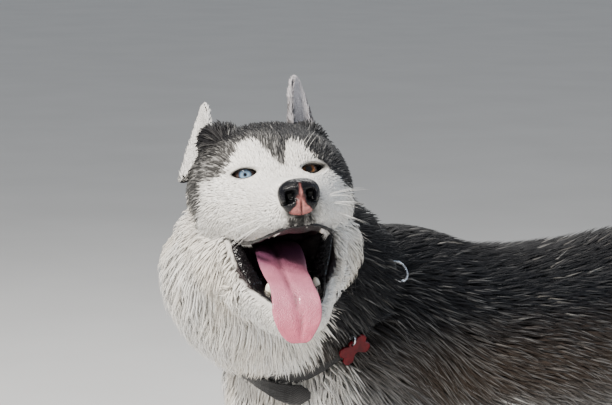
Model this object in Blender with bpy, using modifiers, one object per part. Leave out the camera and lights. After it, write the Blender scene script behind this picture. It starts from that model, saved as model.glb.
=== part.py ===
"""Siberian husky, life size, standing with its head turned to its left and panting.

Metres, +Z up. The animal faces -Y, its left side is +X and its feet stand on Z = 0. The surfaces are those of
the coat, out to the tips of the hair, and the longest hair is in overlapping locks.
"""

import math

import bmesh
import bpy
import numpy as np
from mathutils import Matrix, Vector
from mathutils.bvhtree import BVHTree

# Driving sizes of a grown male
WITHERS = 0.570
BACK_HEIGHT = 0.540
GAP = 0.0003
SEED = 7
RANDOM = np.random.default_rng(SEED)
LOCK_SINK = 0.0080
SHARP = math.radians(40.0)
SIDES = {"left": 1, "right": -1}

# The head: the point midway between the eyes, and how the head is turned there
BETWEEN_EYES = Vector((0.163, -0.238, 0.656))
HEAD_TURN = math.radians(69.9)
HEAD_LIFT = math.radians(11.4)
HEAD_ROLL = math.radians(4.8)
JAW_OPEN = math.radians(25.0)
JAW_HINGE = Vector((0.0, 0.060, -0.045))
HEAD = (
    Matrix.Translation(BETWEEN_EYES)
    @ Matrix.Rotation(HEAD_TURN, 4, "Z")
    @ Matrix.Rotation(-HEAD_LIFT, 4, "X")
    @ Matrix.Rotation(-HEAD_ROLL, 4, "Y")
)
JAW = (
    HEAD
    @ Matrix.Translation(JAW_HINGE)
    @ Matrix.Rotation(JAW_OPEN, 4, "X")
    @ Matrix.Translation(-JAW_HINGE)
)

# Sections in the head's own frame, from the nose back: x, y, z, half width, rise, drop
SKULL = (
    (0, -0.1060, -0.0400, 0.0100, 0.0100, 0.0100),
    (0, -0.1020, -0.0400, 0.0220, 0.0190, 0.0180),
    (0, -0.0920, -0.0400, 0.0295, 0.0265, 0.0250),
    (0, -0.0720, -0.0400, 0.0360, 0.0295, 0.0290),
    (0, -0.0500, -0.0395, 0.0430, 0.0310, 0.0310),
    (0, -0.0320, -0.0370, 0.0510, 0.0350, 0.0350),
    (0, -0.0160, -0.0320, 0.0590, 0.0420, 0.0420),
    (0, -0.0020, -0.0250, 0.0660, 0.0500, 0.0500),
    (0, 0.0160, -0.0180, 0.0720, 0.0600, 0.0600),
    (0, 0.0400, -0.0140, 0.0760, 0.0650, 0.0680),
    (0, 0.0680, -0.0120, 0.0760, 0.0650, 0.0700),
    (0, 0.0960, -0.0120, 0.0670, 0.0570, 0.0640),
    (0, 0.1180, -0.0120, 0.0500, 0.0410, 0.0500),
    (0, 0.1300, -0.0120, 0.0260, 0.0200, 0.0260),
)
# Sections of the lower jaw, in the closed mouth
MANDIBLE = (
    (0, -0.0900, -0.0800, 0.007, 0.005, 0.005),
    (0, -0.0850, -0.0800, 0.017, 0.010, 0.012),
    (0, -0.0700, -0.0820, 0.025, 0.014, 0.017),
    (0, -0.0450, -0.0840, 0.032, 0.016, 0.021),
    (0, -0.0150, -0.0850, 0.041, 0.018, 0.026),
    (0, 0.0150, -0.0840, 0.050, 0.024, 0.032),
    (0, 0.0450, -0.0780, 0.056, 0.030, 0.034),
    (0, 0.0750, -0.0700, 0.052, 0.032, 0.032),
    (0, 0.0950, -0.0650, 0.032, 0.022, 0.022),
)
# Rounded masses of the face: centre and half sizes, the same on both sides
BROW = ((0.029, 0.004, 0.021), (0.021, 0.017, 0.013))
CHEEK_BONE = ((0.045, 0.032, -0.030), (0.031, 0.044, 0.036))
JOWL = ((0.043, 0.060, -0.070), (0.039, 0.054, 0.046))
# The fuller coat in front of each ear: centre and half sizes
EAR_BASE = {
    "left": ((0.0400, 0.0600, 0.0270), (0.0190, 0.0240, 0.0190)),
    "right": ((-0.0410, 0.0540, 0.0340), (0.0220, 0.0260, 0.0210)),
}
# The fold of the cheek behind the lip's line, from the corner of the mouth down to the jaw
CHEEK_FOLD = (
    (0.0500, 0.0160, -0.0560, 0.010, 0.010, 0.010),
    (0.0490, 0.0130, -0.0640, 0.011, 0.011, 0.011),
    (0.0465, 0.0100, -0.0790, 0.011, 0.011, 0.011),
    (0.0410, 0.0060, -0.0940, 0.011, 0.011, 0.011),
    (0.0345, -0.0010, -0.1080, 0.010, 0.010, 0.010),
    (0.0260, -0.0260, -0.1190, 0.009, 0.009, 0.009),
    (0.0200, -0.0440, -0.1270, 0.008, 0.008, 0.008),
)
EYE_RADIUS = 0.0118
EYES = {"left": Vector((0.0272, -0.0062, -0.0025)), "right": Vector((-0.0297, -0.0062, -0.0005))}
LID_SIZE = (0.0160, 0.0134, 0.0150)
EYE_OPENING = (0.0090, 0.0044)
EYE_OUTWARD = math.radians(14.0)
LID_FLARE = ((-0.030, 1.6), (-0.002, 1.0))

# The nose pad from back to front: x, y, z, half width, rise, drop; and its nostrils
NOSE = (
    (0, -0.0920, -0.0320, 0.0120, 0.0100, 0.0120),
    (0, -0.0980, -0.0315, 0.0163, 0.0145, 0.0150),
    (0, -0.1050, -0.0312, 0.0184, 0.0160, 0.0165),
    (0, -0.1110, -0.0318, 0.0177, 0.0152, 0.0160),
    (0, -0.1155, -0.0325, 0.0142, 0.0118, 0.0130),
    (0, -0.1175, -0.0330, 0.0082, 0.0065, 0.0075),
)
NOSTRIL = ((0.0088, -0.1150, -0.0315), (0.0042, 0.0080, 0.0052))
NOSTRIL_SLIT = ((0.0142, -0.1110, -0.0355), (0.0052, 0.0050, 0.0016))

# Hollows of the open mouth: under the palate, between the cheeks, and in the floor of the jaw
PALATE = (
    (0, -0.0900, -0.0660, 0.012, 0.008, 0.020),
    (0, -0.0700, -0.0660, 0.020, 0.012, 0.020),
    (0, -0.0400, -0.0680, 0.026, 0.014, 0.020),
    (0, -0.0100, -0.0720, 0.032, 0.018, 0.020),
    (0, 0.0150, -0.0780, 0.034, 0.020, 0.020),
)
GAPE = (
    (0, -0.0260, -0.0850, 0.066, 0.022, 0.022),
    (0, -0.0120, -0.0830, 0.062, 0.021, 0.021),
    (0, -0.0040, -0.0820, 0.046, 0.019, 0.021),
    (0, 0.0060, -0.0810, 0.040, 0.017, 0.018),
    (0, 0.0200, -0.0790, 0.034, 0.015, 0.014),
    (0, 0.0360, -0.0780, 0.022, 0.010, 0.009),
)
JAW_FLOOR = (
    (0, -0.0780, -0.0640, 0.009, 0.010, 0.010),
    (0, -0.0600, -0.0640, 0.016, 0.010, 0.013),
    (0, -0.0300, -0.0660, 0.021, 0.012, 0.015),
    (0, 0.0000, -0.0700, 0.027, 0.015, 0.014),
    (0, 0.0200, -0.0740, 0.027, 0.012, 0.010),
)
# The lips' edges from the corner of the mouth to the middle
LIP_RADIUS = 0.0026
UPPER_LIP = (
    (0.0450, 0.0020, -0.0590),
    (0.0400, -0.0300, -0.0640),
    (0.0340, -0.0600, -0.0640),
    (0.0255, -0.0860, -0.0610),
    (0.0110, -0.0985, -0.0570),
)
LOWER_LIP = (
    (0.0450, 0.0020, -0.0590),
    (0.0415, -0.0010, -0.0740),
    (0.0360, -0.0050, -0.0890),
    (0.0300, -0.0110, -0.1040),
    (0.0250, -0.0340, -0.1145),
    (0.0175, -0.0535, -0.1250),
    (0.0060, -0.0610, -0.1295),
)
# Teeth: place of the root, length and root radius; a row for each jaw, the same on both sides
TOOTH_SINK = 0.006
UPPER_TEETH = (
    ((0.0040, -0.0925, -0.0550), 0.0045, 0.0019),
    ((0.0095, -0.0900, -0.0550), 0.0050, 0.0022),
    ((0.0175, -0.0830, -0.0550), 0.0100, 0.0034),
    ((0.0235, -0.0620, -0.0570), 0.0045, 0.0030),
    ((0.0290, -0.0400, -0.0580), 0.0055, 0.0046),
)
LOWER_TEETH = (
    ((0.0035, -0.0820, -0.0710), 0.0040, 0.0017),
    ((0.0085, -0.0790, -0.0710), 0.0050, 0.0019),
    ((0.0140, -0.0740, -0.0710), 0.0100, 0.0032),
    ((0.0175, -0.0580, -0.0700), 0.0045, 0.0028),
    ((0.0215, -0.0380, -0.0700), 0.0075, 0.0046),
)
# The tongue from its tip to its root: x, y, z, half width, rise, drop
TONGUE = (
    (-0.0105, -0.0780, -0.1585, 0.0070, 0.0022, 0.0030),
    (-0.0102, -0.0785, -0.1540, 0.0128, 0.0030, 0.0038),
    (-0.0098, -0.0785, -0.1440, 0.0190, 0.0036, 0.0042),
    (-0.0090, -0.0775, -0.1320, 0.0222, 0.0036, 0.0042),
    (-0.0085, -0.0740, -0.1200, 0.0212, 0.0042, 0.0046),
    (-0.0090, -0.0640, -0.1080, 0.0195, 0.0042, 0.0046),
    (-0.0092, -0.0460, -0.0970, 0.0198, 0.0042, 0.0046),
    (-0.0085, -0.0240, -0.0830, 0.0215, 0.0042, 0.0046),
    (-0.0060, 0.0040, -0.0700, 0.0205, 0.0042, 0.0046),
    (-0.0010, 0.0380, -0.0690, 0.0150, 0.0042, 0.0046),
)
TONGUE_GROOVE = 0.0016

# Ears: the foot of the inner edge, the foot of the outer edge and the tip
EARS = {
    "left": ((0.0305, 0.0580, 0.0529), (0.0558, 0.0940, 0.0421), (0.0501, 0.1280, 0.0944)),
    "right": ((-0.0475, 0.0600, 0.0525), (-0.0751, 0.0880, 0.0121), (-0.0413, 0.1240, 0.0758)),
}
# How each ear narrows: the power of the way up, then the power of what that leaves
EAR_ROUND = {"left": (1.7, 0.62), "right": (1.2, 0.82)}
EAR_FUR = 0.0022
EAR_DEPTH = 0.45
EAR_WRAP = (math.radians(88.0), math.radians(50.0))
EAR_THICK = (0.0070, 0.0045)
EAR_ROOT = 0.014

# Sections of the neck, from inside the skull back to the chest, then those of the trunk
NECK = (
    (0.122, -0.224, 0.612, 0.062, 0.054, 0.070),
    (0.094, -0.216, 0.590, 0.078, 0.078, 0.094),
    (0.062, -0.196, 0.562, 0.088, 0.098, 0.104),
    (0.028, -0.156, 0.532, 0.096, 0.104, 0.106),
    (0.006, -0.096, 0.500, 0.102, 0.100, 0.110),
    (0.000, -0.030, 0.468, 0.102, 0.093, 0.110),
    (0.000, 0.020, 0.450, 0.092, 0.086, 0.100),
)
TRUNK = (
    (0, -0.178, 0.418, 0.038, 0.045, 0.050),
    (0, -0.160, 0.420, 0.074, 0.082, 0.086),
    (0, -0.115, 0.424, 0.102, 0.112, 0.122),
    (0, -0.050, 0.428, 0.113, WITHERS - 0.434, 0.138),
    (0, 0.010, 0.430, 0.117, WITHERS - 0.434, 0.142),
    (0, 0.080, 0.430, 0.120, BACK_HEIGHT - 0.426, 0.138),
    (0, 0.150, 0.432, 0.118, BACK_HEIGHT - 0.434, 0.124),
    (0, 0.220, 0.438, 0.110, BACK_HEIGHT - 0.440, 0.108),
    (0, 0.290, 0.444, 0.104, BACK_HEIGHT - 0.440, 0.098),
    (0, 0.350, 0.446, 0.100, BACK_HEIGHT - 0.442, 0.096),
    (0, 0.400, 0.440, 0.086, 0.086, 0.086),
    (0, 0.436, 0.430, 0.050, 0.056, 0.056),
)
# Sections of the legs from the top: y, z, distance from the middle, half width, half depth behind, in front
FORELEG = (
    (-0.060, 0.470, 0.070, 0.030, 0.050, 0.055),
    (-0.085, 0.410, 0.082, 0.038, 0.066, 0.066),
    (-0.060, 0.350, 0.088, 0.040, 0.064, 0.062),
    (-0.024, 0.300, 0.088, 0.036, 0.046, 0.050),
    (-0.018, 0.245, 0.086, 0.031, 0.034, 0.036),
    (-0.022, 0.180, 0.083, 0.026, 0.026, 0.028),
    (-0.026, 0.130, 0.081, 0.025, 0.025, 0.027),
    (-0.034, 0.080, 0.081, 0.024, 0.024, 0.025),
    (-0.048, 0.045, 0.082, 0.027, 0.026, 0.026),
    (-0.062, 0.026, 0.083, 0.028, 0.030, 0.026),
)
HINDLEG = (
    (0.330, 0.470, 0.062, 0.040, 0.080, 0.070),
    (0.335, 0.400, 0.078, 0.048, 0.092, 0.092),
    (0.322, 0.335, 0.086, 0.048, 0.084, 0.078),
    (0.330, 0.275, 0.088, 0.040, 0.062, 0.056),
    (0.362, 0.220, 0.084, 0.031, 0.042, 0.038),
    (0.398, 0.170, 0.079, 0.025, 0.028, 0.028),
    (0.408, 0.130, 0.077, 0.023, 0.024, 0.025),
    (0.402, 0.080, 0.077, 0.023, 0.023, 0.024),
    (0.390, 0.045, 0.078, 0.026, 0.026, 0.026),
    (0.376, 0.026, 0.079, 0.027, 0.030, 0.026),
)
# How far forward of the plain stance each foot stands
STRIDE = {"front_left": 0.000, "front_right": 0.026, "hind_left": 0.022, "hind_right": -0.018}
TOE_SIZE = (0.0120, 0.0210, 0.0150)
TOES = ((-0.0225, 0.006), (-0.0085, -0.010), (0.0085, -0.010), (0.0225, 0.006))
CLAW_LENGTH = 0.016

# Sections of the tail's core, from the root to near the tip
TAIL = (
    (0.000, 0.400, 0.490, 0.035, 0.035, 0.035),
    (0.000, 0.445, 0.520, 0.039, 0.039, 0.039),
    (0.002, 0.495, 0.568, 0.046, 0.046, 0.046),
    (0.005, 0.528, 0.630, 0.053, 0.053, 0.053),
    (0.009, 0.528, 0.694, 0.057, 0.057, 0.057),
    (0.013, 0.494, 0.742, 0.055, 0.055, 0.055),
    (0.017, 0.446, 0.762, 0.047, 0.047, 0.047),
    (0.020, 0.398, 0.758, 0.032, 0.032, 0.032),
)

# Planes that part the coat: a point on each and how far it leans from upright
HEAD_SEAM = (Vector((0.0, 0.0675, -0.0475)), math.radians(31.5))
NECK_SEAM = (Vector((0.0, -0.095, 0.483)), math.radians(50.0))
# Rooms of the legs and the tail: smallest and largest x, y, z for the left side
FRONT_ROOM = ((0.048, -0.180, -0.020), (0.250, 0.036, 0.392))
HIND_ROOM = ((0.030, 0.245, -0.020), (0.250, 0.520, 0.425))
TAIL_ROOM = ((-0.100, 0.438, 0.465), (0.100, 0.750, 0.655))
PLUME_ROOM = ((-0.100, 0.300, 0.655), (0.100, 0.750, 0.900))

# How deep under the tips of the hair the core of a form lies where locks cover it: across, above, below
RUFF_DEPTH = (0.012, 0.000, 0.016)
BRUSH_DEPTH = (0.018, 0.018, 0.018)
# How far from a form the search for its surface starts
LOCK_LIFT = 0.060
# Locks round a form: at which section, how many, between which angles; then length, half width and thickness
RUFF_LOCKS = ((1.2, 6, -200, 20), (2.1, 7, -200, 20), (3.0, 6, -190, 10))
RUFF_LOCK = (0.092, 0.0260, 0.0090)
BRUSH_LOCKS = (
    (1.3, 4, 0, 360),
    (2.2, 4, 45, 405),
    (3.1, 5, 0, 360),
    (4.0, 5, 36, 396),
    (4.9, 5, 0, 360),
    (5.8, 4, 45, 405),
)
BRUSH_SPLIT = 2.5
BRUSH_LOCK = (0.092, 0.0250, 0.0100)
# Single locks of the left side: root, the way outwards, the lie
CHEEK_LOCKS = (
    ((0.067, 0.036, -0.030), (0.90, -0.20, -0.10), (0.20, 0.86, -0.46)),
    ((0.066, 0.030, -0.064), (0.85, -0.25, -0.30), (0.10, 0.84, -0.54)),
    ((0.050, 0.024, -0.100), (0.65, -0.30, -0.65), (0.04, 0.88, -0.44)),
)
CHEEK_LOCK = (0.058, 0.0190, 0.0075)
CHEST_LOCKS = (
    ((0.022, -0.176, 0.410), (0.15, -0.98, 0.00), (0.06, 0.20, -1.00)),
    ((0.060, -0.158, 0.400), (0.45, -0.88, 0.00), (0.05, 0.20, -1.00)),
    ((0.024, -0.160, 0.360), (0.10, -0.80, -0.55), (0.02, 0.55, -0.83)),
)
CHEST_LOCK = (0.078, 0.0210, 0.0085)
BREECH_LOCKS = (
    ((0.040, 0.420, 0.455), (0.05, 1.00, 0.10), (0.00, 0.02, -1.00)),
    ((0.074, 0.405, 0.450), (0.30, 0.92, 0.10), (0.02, 0.02, -1.00)),
    ((0.100, 0.370, 0.452), (0.70, 0.70, 0.05), (0.00, 0.12, -1.00)),
)
BREECH_LOCK = (0.125, 0.0240, 0.0095)

# Collar: centre, half sizes across and along, and how its plane leans and turns
COLLAR_AT = Vector((0.0123, -0.1170, 0.5050))
COLLAR_SIZE = (0.0900, 0.1000)
COLLAR_WIDTH = 0.0220
COLLAR_THICK = 0.0030
COLLAR_LEAN = math.radians(42.5)
COLLAR_TURN = math.radians(13.8)
GROOVE_REACH = 0.0360
GROOVE_FLARE = 0.0110
# The larger ring on the collar: angle round it, ring radius, wire radius; and the loop of webbing that holds it
SIDE_RING = (math.radians(29.0), 0.0110, 0.0015)
KEEPER = (0.0070, 0.0090, 0.0060)
# The tag's ring, and the small tab under the collar that it hangs from
TAG_RING = (math.radians(-20.0), 0.0045, 0.0009)
TAB = (0.0045, 0.0062, 0.0014)
TAB_HOLE = 0.0016
TAB_OUT = 0.0022
TAB_ABOVE = 0.0060
TAB_LIFT = math.radians(56.0)
# The bone-shaped tag: its tilt, knobs, bar, thickness, and the eyelet's place, rim and hole
TAG_TILT = math.radians(34.0)
TAG_KNOB = (0.0105, 0.0048, 0.0058)
TAG_BAR = (0.0105, 0.0040)
TAG_THICK = 0.0026
EYELET = (0.0070, 0.0036, 0.0016)
# The loose end of the collar: angle round it, distance out from it and along its axis
STRAP = (
    (-108.0, 0.0048, 0.0020),
    (-95.0, 0.0050, 0.0050),
    (-83.0, 0.0080, 0.0020),
    (-74.0, 0.0120, -0.0045),
    (-65.0, 0.0170, -0.0085),
    (-56.0, 0.0215, -0.0140),
)
STRAP_WIDTH = 0.0105
STRAP_FACING = (0.80, -0.55, 0.25)
STRAP_THICK = 0.0014

COLOURS = {
    "coat_dark": (0.060, 0.060, 0.068, 0.75),
    "coat_grey": (0.260, 0.250, 0.240, 0.75),
    "coat_white": (0.820, 0.800, 0.760, 0.75),
    "eye_blue": (0.350, 0.560, 0.760, 0.10),
    "eye_brown": (0.170, 0.075, 0.025, 0.10),
    "nose_leather": (0.030, 0.028, 0.030, 0.35),
    "tongue_flesh": (0.740, 0.360, 0.420, 0.40),
    "webbing": (0.085, 0.085, 0.090, 0.80),
    "steel": (0.620, 0.640, 0.680, 0.25),
    "red_enamel": (0.450, 0.012, 0.020, 0.30),
}


def clear_scene():
    for old in list(bpy.data.objects):
        bpy.data.objects.remove(old)


def new_collection(name, hidden=False):
    made = bpy.data.collections.new(name)
    bpy.context.scene.collection.children.link(made)
    made.hide_render = hidden
    return made


def material(name):
    *colour, roughness = COLOURS[name]
    made = bpy.data.materials.get(name) or bpy.data.materials.new(name)
    made.use_nodes = True
    shader = made.node_tree.nodes["Principled BSDF"]
    shader.inputs["Base Color"].default_value = (*colour, 1.0)
    shader.inputs["Roughness"].default_value = roughness
    shader.inputs["Metallic"].default_value = 1.0 if name == "steel" else 0.0
    return made


def finish(obj, name, finish_name):
    """Gives an object its name, its place in the model and its one material."""
    for holder in list(obj.users_collection):
        holder.objects.unlink(obj)
    HUSKY.objects.link(obj)
    obj.name = name
    obj.data.name = name
    obj.data.materials.clear()
    obj.data.materials.append(material(finish_name))
    obj.data.shade_smooth()
    obj.data.set_sharp_from_angle(angle=SHARP)
    return obj


def smooth_rows(rows, steps):
    """Catmull-Rom curve through the rows of sizes, with steps samples to each span."""
    rows = np.asarray(rows, float)
    padded = np.vstack([2 * rows[0] - rows[1], rows, 2 * rows[-1] - rows[-2]])
    t = np.linspace(0, len(rows) - 1, steps * (len(rows) - 1) + 1)
    i = np.minimum(t.astype(int), len(rows) - 2)
    f = (t - i)[:, None]
    a, b, c, d = (padded[i + k] for k in range(4))
    return b + 0.5 * f * (c - a + f * (2 * a - 5 * b + 4 * c - d + f * (3 * (b - c) + d - a)))


def unit(vectors):
    return vectors / np.maximum(np.linalg.norm(vectors, axis=-1, keepdims=True), 1e-9)


def section_frames(rows, hint):
    """Centre, and the across and up directions, of each section square to the path."""
    centre = rows[:, :3]
    along = unit(np.gradient(centre, axis=0))
    across = unit(hint - along * (along @ hint)[:, None])
    return centre, across, np.cross(across, along)


def rings(rows, around, hint=(1.0, 0.0, 0.0), square=2.0):
    """A ring of points round each section: an ellipse, or a squarer superellipse."""
    centre, across, up = section_frames(rows, np.array(hint))
    angle = np.arange(around) * 2 * math.pi / around
    wide = np.sign(np.cos(angle)) * np.abs(np.cos(angle)) ** (2 / square)
    high = np.sign(np.sin(angle)) * np.abs(np.sin(angle)) ** (2 / square)
    reach = np.where(high > 0, high * rows[:, 4:5], high * rows[:, 5:6])
    side = (wide * rows[:, 3:4])[..., None] * across[:, None]
    return centre[:, None] + side + reach[..., None] * up[:, None]


def loft(name, points, matrix=None):
    """A closed surface through rings of points, one flat cap at each end."""
    count, around = points.shape[:2]
    build = bmesh.new()
    rows = [[build.verts.new(p) for p in ring] for ring in points]
    for near, far in zip(rows, rows[1:]):
        for k in range(around):
            n = (k + 1) % around
            build.faces.new((near[k], near[n], far[n], far[k]))
    build.faces.new(rows[0])
    build.faces.new(rows[count - 1])
    return closed_object(name, build, matrix)


def closed_object(name, build, matrix=None):
    """An object from a bmesh, its faces turned outwards."""
    if matrix is not None:
        bmesh.ops.transform(build, matrix=matrix, verts=build.verts)
    bmesh.ops.recalc_face_normals(build, faces=build.faces)
    mesh = bpy.data.meshes.new(name)
    build.to_mesh(mesh)
    build.free()
    made = bpy.data.objects.new(name, mesh)
    WORKSHOP.objects.link(made)
    return made


def ellipsoid(name, centre, half_sizes, matrix=None, segments=20, rows=12):
    build = bmesh.new()
    place = Matrix.Translation(centre) @ Matrix.Diagonal((*half_sizes, 1.0))
    bmesh.ops.create_uvsphere(build, u_segments=segments, v_segments=rows, radius=1.0, matrix=place)
    return closed_object(name, build, matrix)


def box(name, centre, sizes, turn=None):
    """A box about centre, its own axes turned by a rotation matrix."""
    build = bmesh.new()
    place = Matrix.Translation(centre) @ (turn or Matrix()) @ Matrix.Diagonal((*sizes, 1.0))
    bmesh.ops.create_cube(build, size=1.0, matrix=place)
    return closed_object(name, build)


def tube(name, points, radii, sides=8, matrix=None):
    """A round bar through points, with a radius at each."""
    points = np.asarray(points, float)
    rows = np.column_stack([points, radii, radii, radii])
    return loft(name, rings(rows, sides, hint=(0.31, 0.22, 0.92)), matrix)


def settle(obj):
    """Replaces an object's mesh by what its modifiers make of it."""
    graph = bpy.context.evaluated_depsgraph_get()
    mesh = bpy.data.meshes.new_from_object(obj.evaluated_get(graph))
    obj.modifiers.clear()
    obj.data = mesh
    return obj


def copy_of(obj, name):
    made = bpy.data.objects.new(name, obj.data.copy())
    WORKSHOP.objects.link(made)
    return made


def joined(name, pieces):
    """One object that holds the surfaces of all the pieces, which are removed."""
    build = bmesh.new()
    for piece in pieces:
        build.from_mesh(piece.data)
        bpy.data.objects.remove(piece)
    mesh = bpy.data.meshes.new(name)
    build.to_mesh(mesh)
    build.free()
    made = bpy.data.objects.new(name, mesh)
    WORKSHOP.objects.link(made)
    return made


def fused(name, pieces, grain, rounds, faces):
    """The pieces melted into one skin: a fine grid of faces, smoothed, then thinned to so many triangles."""
    made = joined(name, pieces)
    remesh = made.modifiers.new("melt", "REMESH")
    remesh.mode = "VOXEL"
    remesh.voxel_size = grain
    smooth = made.modifiers.new("smooth", "SMOOTH")
    smooth.factor = 0.5
    smooth.iterations = rounds
    settle(made)
    thin = made.modifiers.new("thin", "DECIMATE")
    thin.ratio = min(1.0, faces / (2 * len(made.data.polygons)))
    return settle(made)


def cut(obj, others, operation="DIFFERENCE", solver="EXACT"):
    """Cuts others from obj, joins them to it or keeps what they share."""
    for other in others:
        change = obj.modifiers.new("cut", "BOOLEAN")
        change.operation = operation
        change.solver = solver
        change.object = other
    settle(obj)
    return obj


def grown(obj, by=GAP):
    """A copy of a solid, larger by a small distance all over."""
    made = copy_of(obj, obj.name + "_grown")
    swell = made.modifiers.new("swell", "DISPLACE")
    swell.mid_level = 0.0
    swell.strength = by
    return settle(made)


def faceted(obj):
    """Splits an object's faces into triangles, so that none of them can be read as bent another way."""
    obj.modifiers.new("facets", "TRIANGULATE")
    return settle(obj)


def clear_of(obj, others):
    """Cuts obj back so that it meets the others face to face, a small gap away."""
    cutters = [grown(other) for other in others]
    cut(obj, [*others, *cutters], solver="MANIFOLD")
    for cutter in cutters:
        bpy.data.objects.remove(cutter)
    return largest(obj)


def largest(obj):
    """Keeps only the largest closed surface of an object."""
    build = bmesh.new()
    build.from_mesh(obj.data)
    build.faces.ensure_lookup_table()
    seen, groups = set(), []
    for face in build.faces:
        if face.index in seen:
            continue
        group, stack = [], [face]
        seen.add(face.index)
        while stack:
            current = stack.pop()
            group.append(current)
            for edge in current.edges:
                for other in edge.link_faces:
                    if other.index not in seen:
                        seen.add(other.index)
                        stack.append(other)
        groups.append(group)
    groups.sort(key=len)
    for group in groups[:-1]:
        bmesh.ops.delete(build, geom=group, context="FACES")
    build.to_mesh(obj.data)
    build.free()
    return obj


def united(obj, pieces, solver="MANIFOLD"):
    """Joins pieces to obj with one union on their collection, then removes them."""
    holder = bpy.data.collections.new(obj.name + "_pieces")
    for piece in pieces:
        holder.objects.link(piece)
    change = obj.modifiers.new("union", "BOOLEAN")
    change.operation = "UNION"
    change.operand_type = "COLLECTION"
    change.collection = holder
    change.solver = solver
    settle(obj)
    for piece in pieces:
        bpy.data.objects.remove(piece)
    bpy.data.collections.remove(holder)
    return largest(obj)


def lock(name, root, out, lie, sizes, depth, curl):
    """A flat tapered lock of hair: it leaves the coat at the root, bends outwards and ends in a point."""
    length, width, thick = sizes
    lie = unit(lie)
    out = unit(out - lie * (out @ lie))
    across = np.cross(out, lie)
    t = np.linspace(0.0, 1.0, 4)
    rise = -LOCK_SINK + (LOCK_SINK + depth) * np.sin(t * math.pi / 2)
    aside = curl * length * t * t
    path = root + np.outer(t * length, lie) + np.outer(rise, out) + np.outer(aside, across)
    wide = width * np.array((0.75, 1.0, 0.72, 0.08))
    high = thick * np.array((0.9, 1.0, 0.65, 0.12)) / 2
    rows = np.column_stack([path, wide, high, high])
    return faceted(loft(name, rings(rows, 4, hint=tuple(across))))


def sunk(sections, depths):
    """The sections of a form's core, under the tips of its hair."""
    rows = np.array(sections, float)
    rows[:, -3:] = np.maximum(rows[:, -3:] - depths, 0.4 * rows[:, -3:])
    return rows


def on_form(rows, place, degrees, ahead):
    """A point on a loft's surface, the way outwards there and the way along the loft a little further on."""
    fine = smooth_rows(rows, 8)
    centre, across, up = section_frames(fine, np.array((1.0, 0.0, 0.0)))
    k = int(round(place * 8))
    further = min(k + int(round(ahead * 8)), len(fine) - 1)
    c, s = math.cos(math.radians(degrees)), math.sin(math.radians(degrees))
    wide, high = fine[k, 3], fine[k, 4 if s > 0 else 5]
    out = unit(c / wide * across[k] + s / high * up[k])
    return centre[k] + wide * c * across[k] + high * s * up[k], out, np.cross(up[further], across[further])


def round_form(rows, layout, ahead):
    """Root, way outwards and lie of each lock in rows round a loft, each a little off its even place."""
    made = []
    for place, count, first, last in layout:
        for k in range(count):
            degrees = first + (last - first) * (k + 0.5) / count + RANDOM.uniform(-4, 4)
            made.append(on_form(rows, place + RANDOM.uniform(-0.10, 0.10), degrees, ahead))
    return made


def paired(places, matrix=None):
    """Root, way outwards and lie of single locks and their mirror images."""
    made = []
    for side in SIDES.values():
        for place in places:
            root, out, lie = (Vector((side * x, y, z)) for x, y, z in place)
            if matrix:
                turn = matrix.to_3x3()
                root, out, lie = matrix @ root, turn @ out, turn @ lie
            made.append([np.array(v) for v in (root, out, lie)])
    return made


def groom(part, name, places, sizes, depth):
    """Joins locks to a part, each rooted where the line in from its place meets the surface."""
    mesh = part.data
    surface = BVHTree.FromPolygons([v.co for v in mesh.vertices], [f.vertices for f in mesh.polygons])
    locks = []
    for root, out, lie in places:
        out = unit(out)
        start = Vector(root + out * LOCK_LIFT)
        seat = surface.ray_cast(start, Vector(-out), 1.6 * LOCK_LIFT)[0]
        if seat is None:
            continue
        length, width, thick = sizes
        size = (length * RANDOM.uniform(0.9, 1.1), width * RANDOM.uniform(0.92, 1.08), thick)
        rise = depth * RANDOM.uniform(0.85, 1.15)
        locks.append(lock(name, np.array(seat), out, lie, size, rise, RANDOM.uniform(-0.12, 0.12)))
    return united(part, locks)


def both_sides(name, mass, matrix):
    """A rounded mass and its mirror image on the other side of the face."""
    (x, y, z), sizes = mass
    return [ellipsoid(f"{name}_{s}", (s * x, y, z), sizes, matrix) for s in (-1, 1)]


def leg_rows(sections, side, stride):
    """Leg sections on one side, and the stride grows towards the foot."""
    table = np.array(sections, float)
    top, foot = table[0, 1], table[-1, 1]
    reach = stride * ((top - table[:, 1]) / (top - foot)) ** 1.3
    return np.column_stack([side * table[:, 2], table[:, 0] - reach, table[:, 1], table[:, 3:6]])


def legs():
    """The four legs' section rows by name."""
    made = {}
    for name, stride in STRIDE.items():
        sections = FORELEG if name.startswith("front") else HINDLEG
        made[name] = leg_rows(sections, SIDES[name.split("_")[1]], stride)
    return made


def trunk_forms():
    """Trunk, and the cores of neck, tail and legs, as plain closed forms."""
    forms = [
        loft("trunk", rings(smooth_rows(TRUNK, 4), 32, square=2.15)),
        loft("neck", rings(smooth_rows(sunk(NECK, RUFF_DEPTH), 4), 32)),
        loft("tail", rings(smooth_rows(sunk(TAIL, BRUSH_DEPTH), 4), 20)),
    ]
    for name, rows in legs().items():
        forms.append(loft(name, rings(smooth_rows(rows, 4), 20)))
    return forms


def head_forms():
    """Skull with the upper jaw, open lower jaw, brows and cheeks as plain closed forms."""
    forms = [
        loft("skull", rings(smooth_rows(SKULL, 4), 36, square=2.1), HEAD),
        loft("mandible", rings(smooth_rows(MANDIBLE, 4), 28, square=2.2), JAW),
    ]
    for name, mass in (("brow", BROW), ("cheek_bone", CHEEK_BONE), ("jowl", JOWL)):
        forms += both_sides(name, mass, HEAD)
    forms += [ellipsoid("ear_base_" + side, *mass, HEAD) for side, mass in EAR_BASE.items()]
    for side in SIDES.values():
        fold = smooth_rows(CHEEK_FOLD, 2) * (side, 1, 1, 1, 1, 1)
        forms.append(loft("cheek_fold", rings(fold, 12, hint=(0.0, 1.0, 0.0)), HEAD))
    return forms


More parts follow.
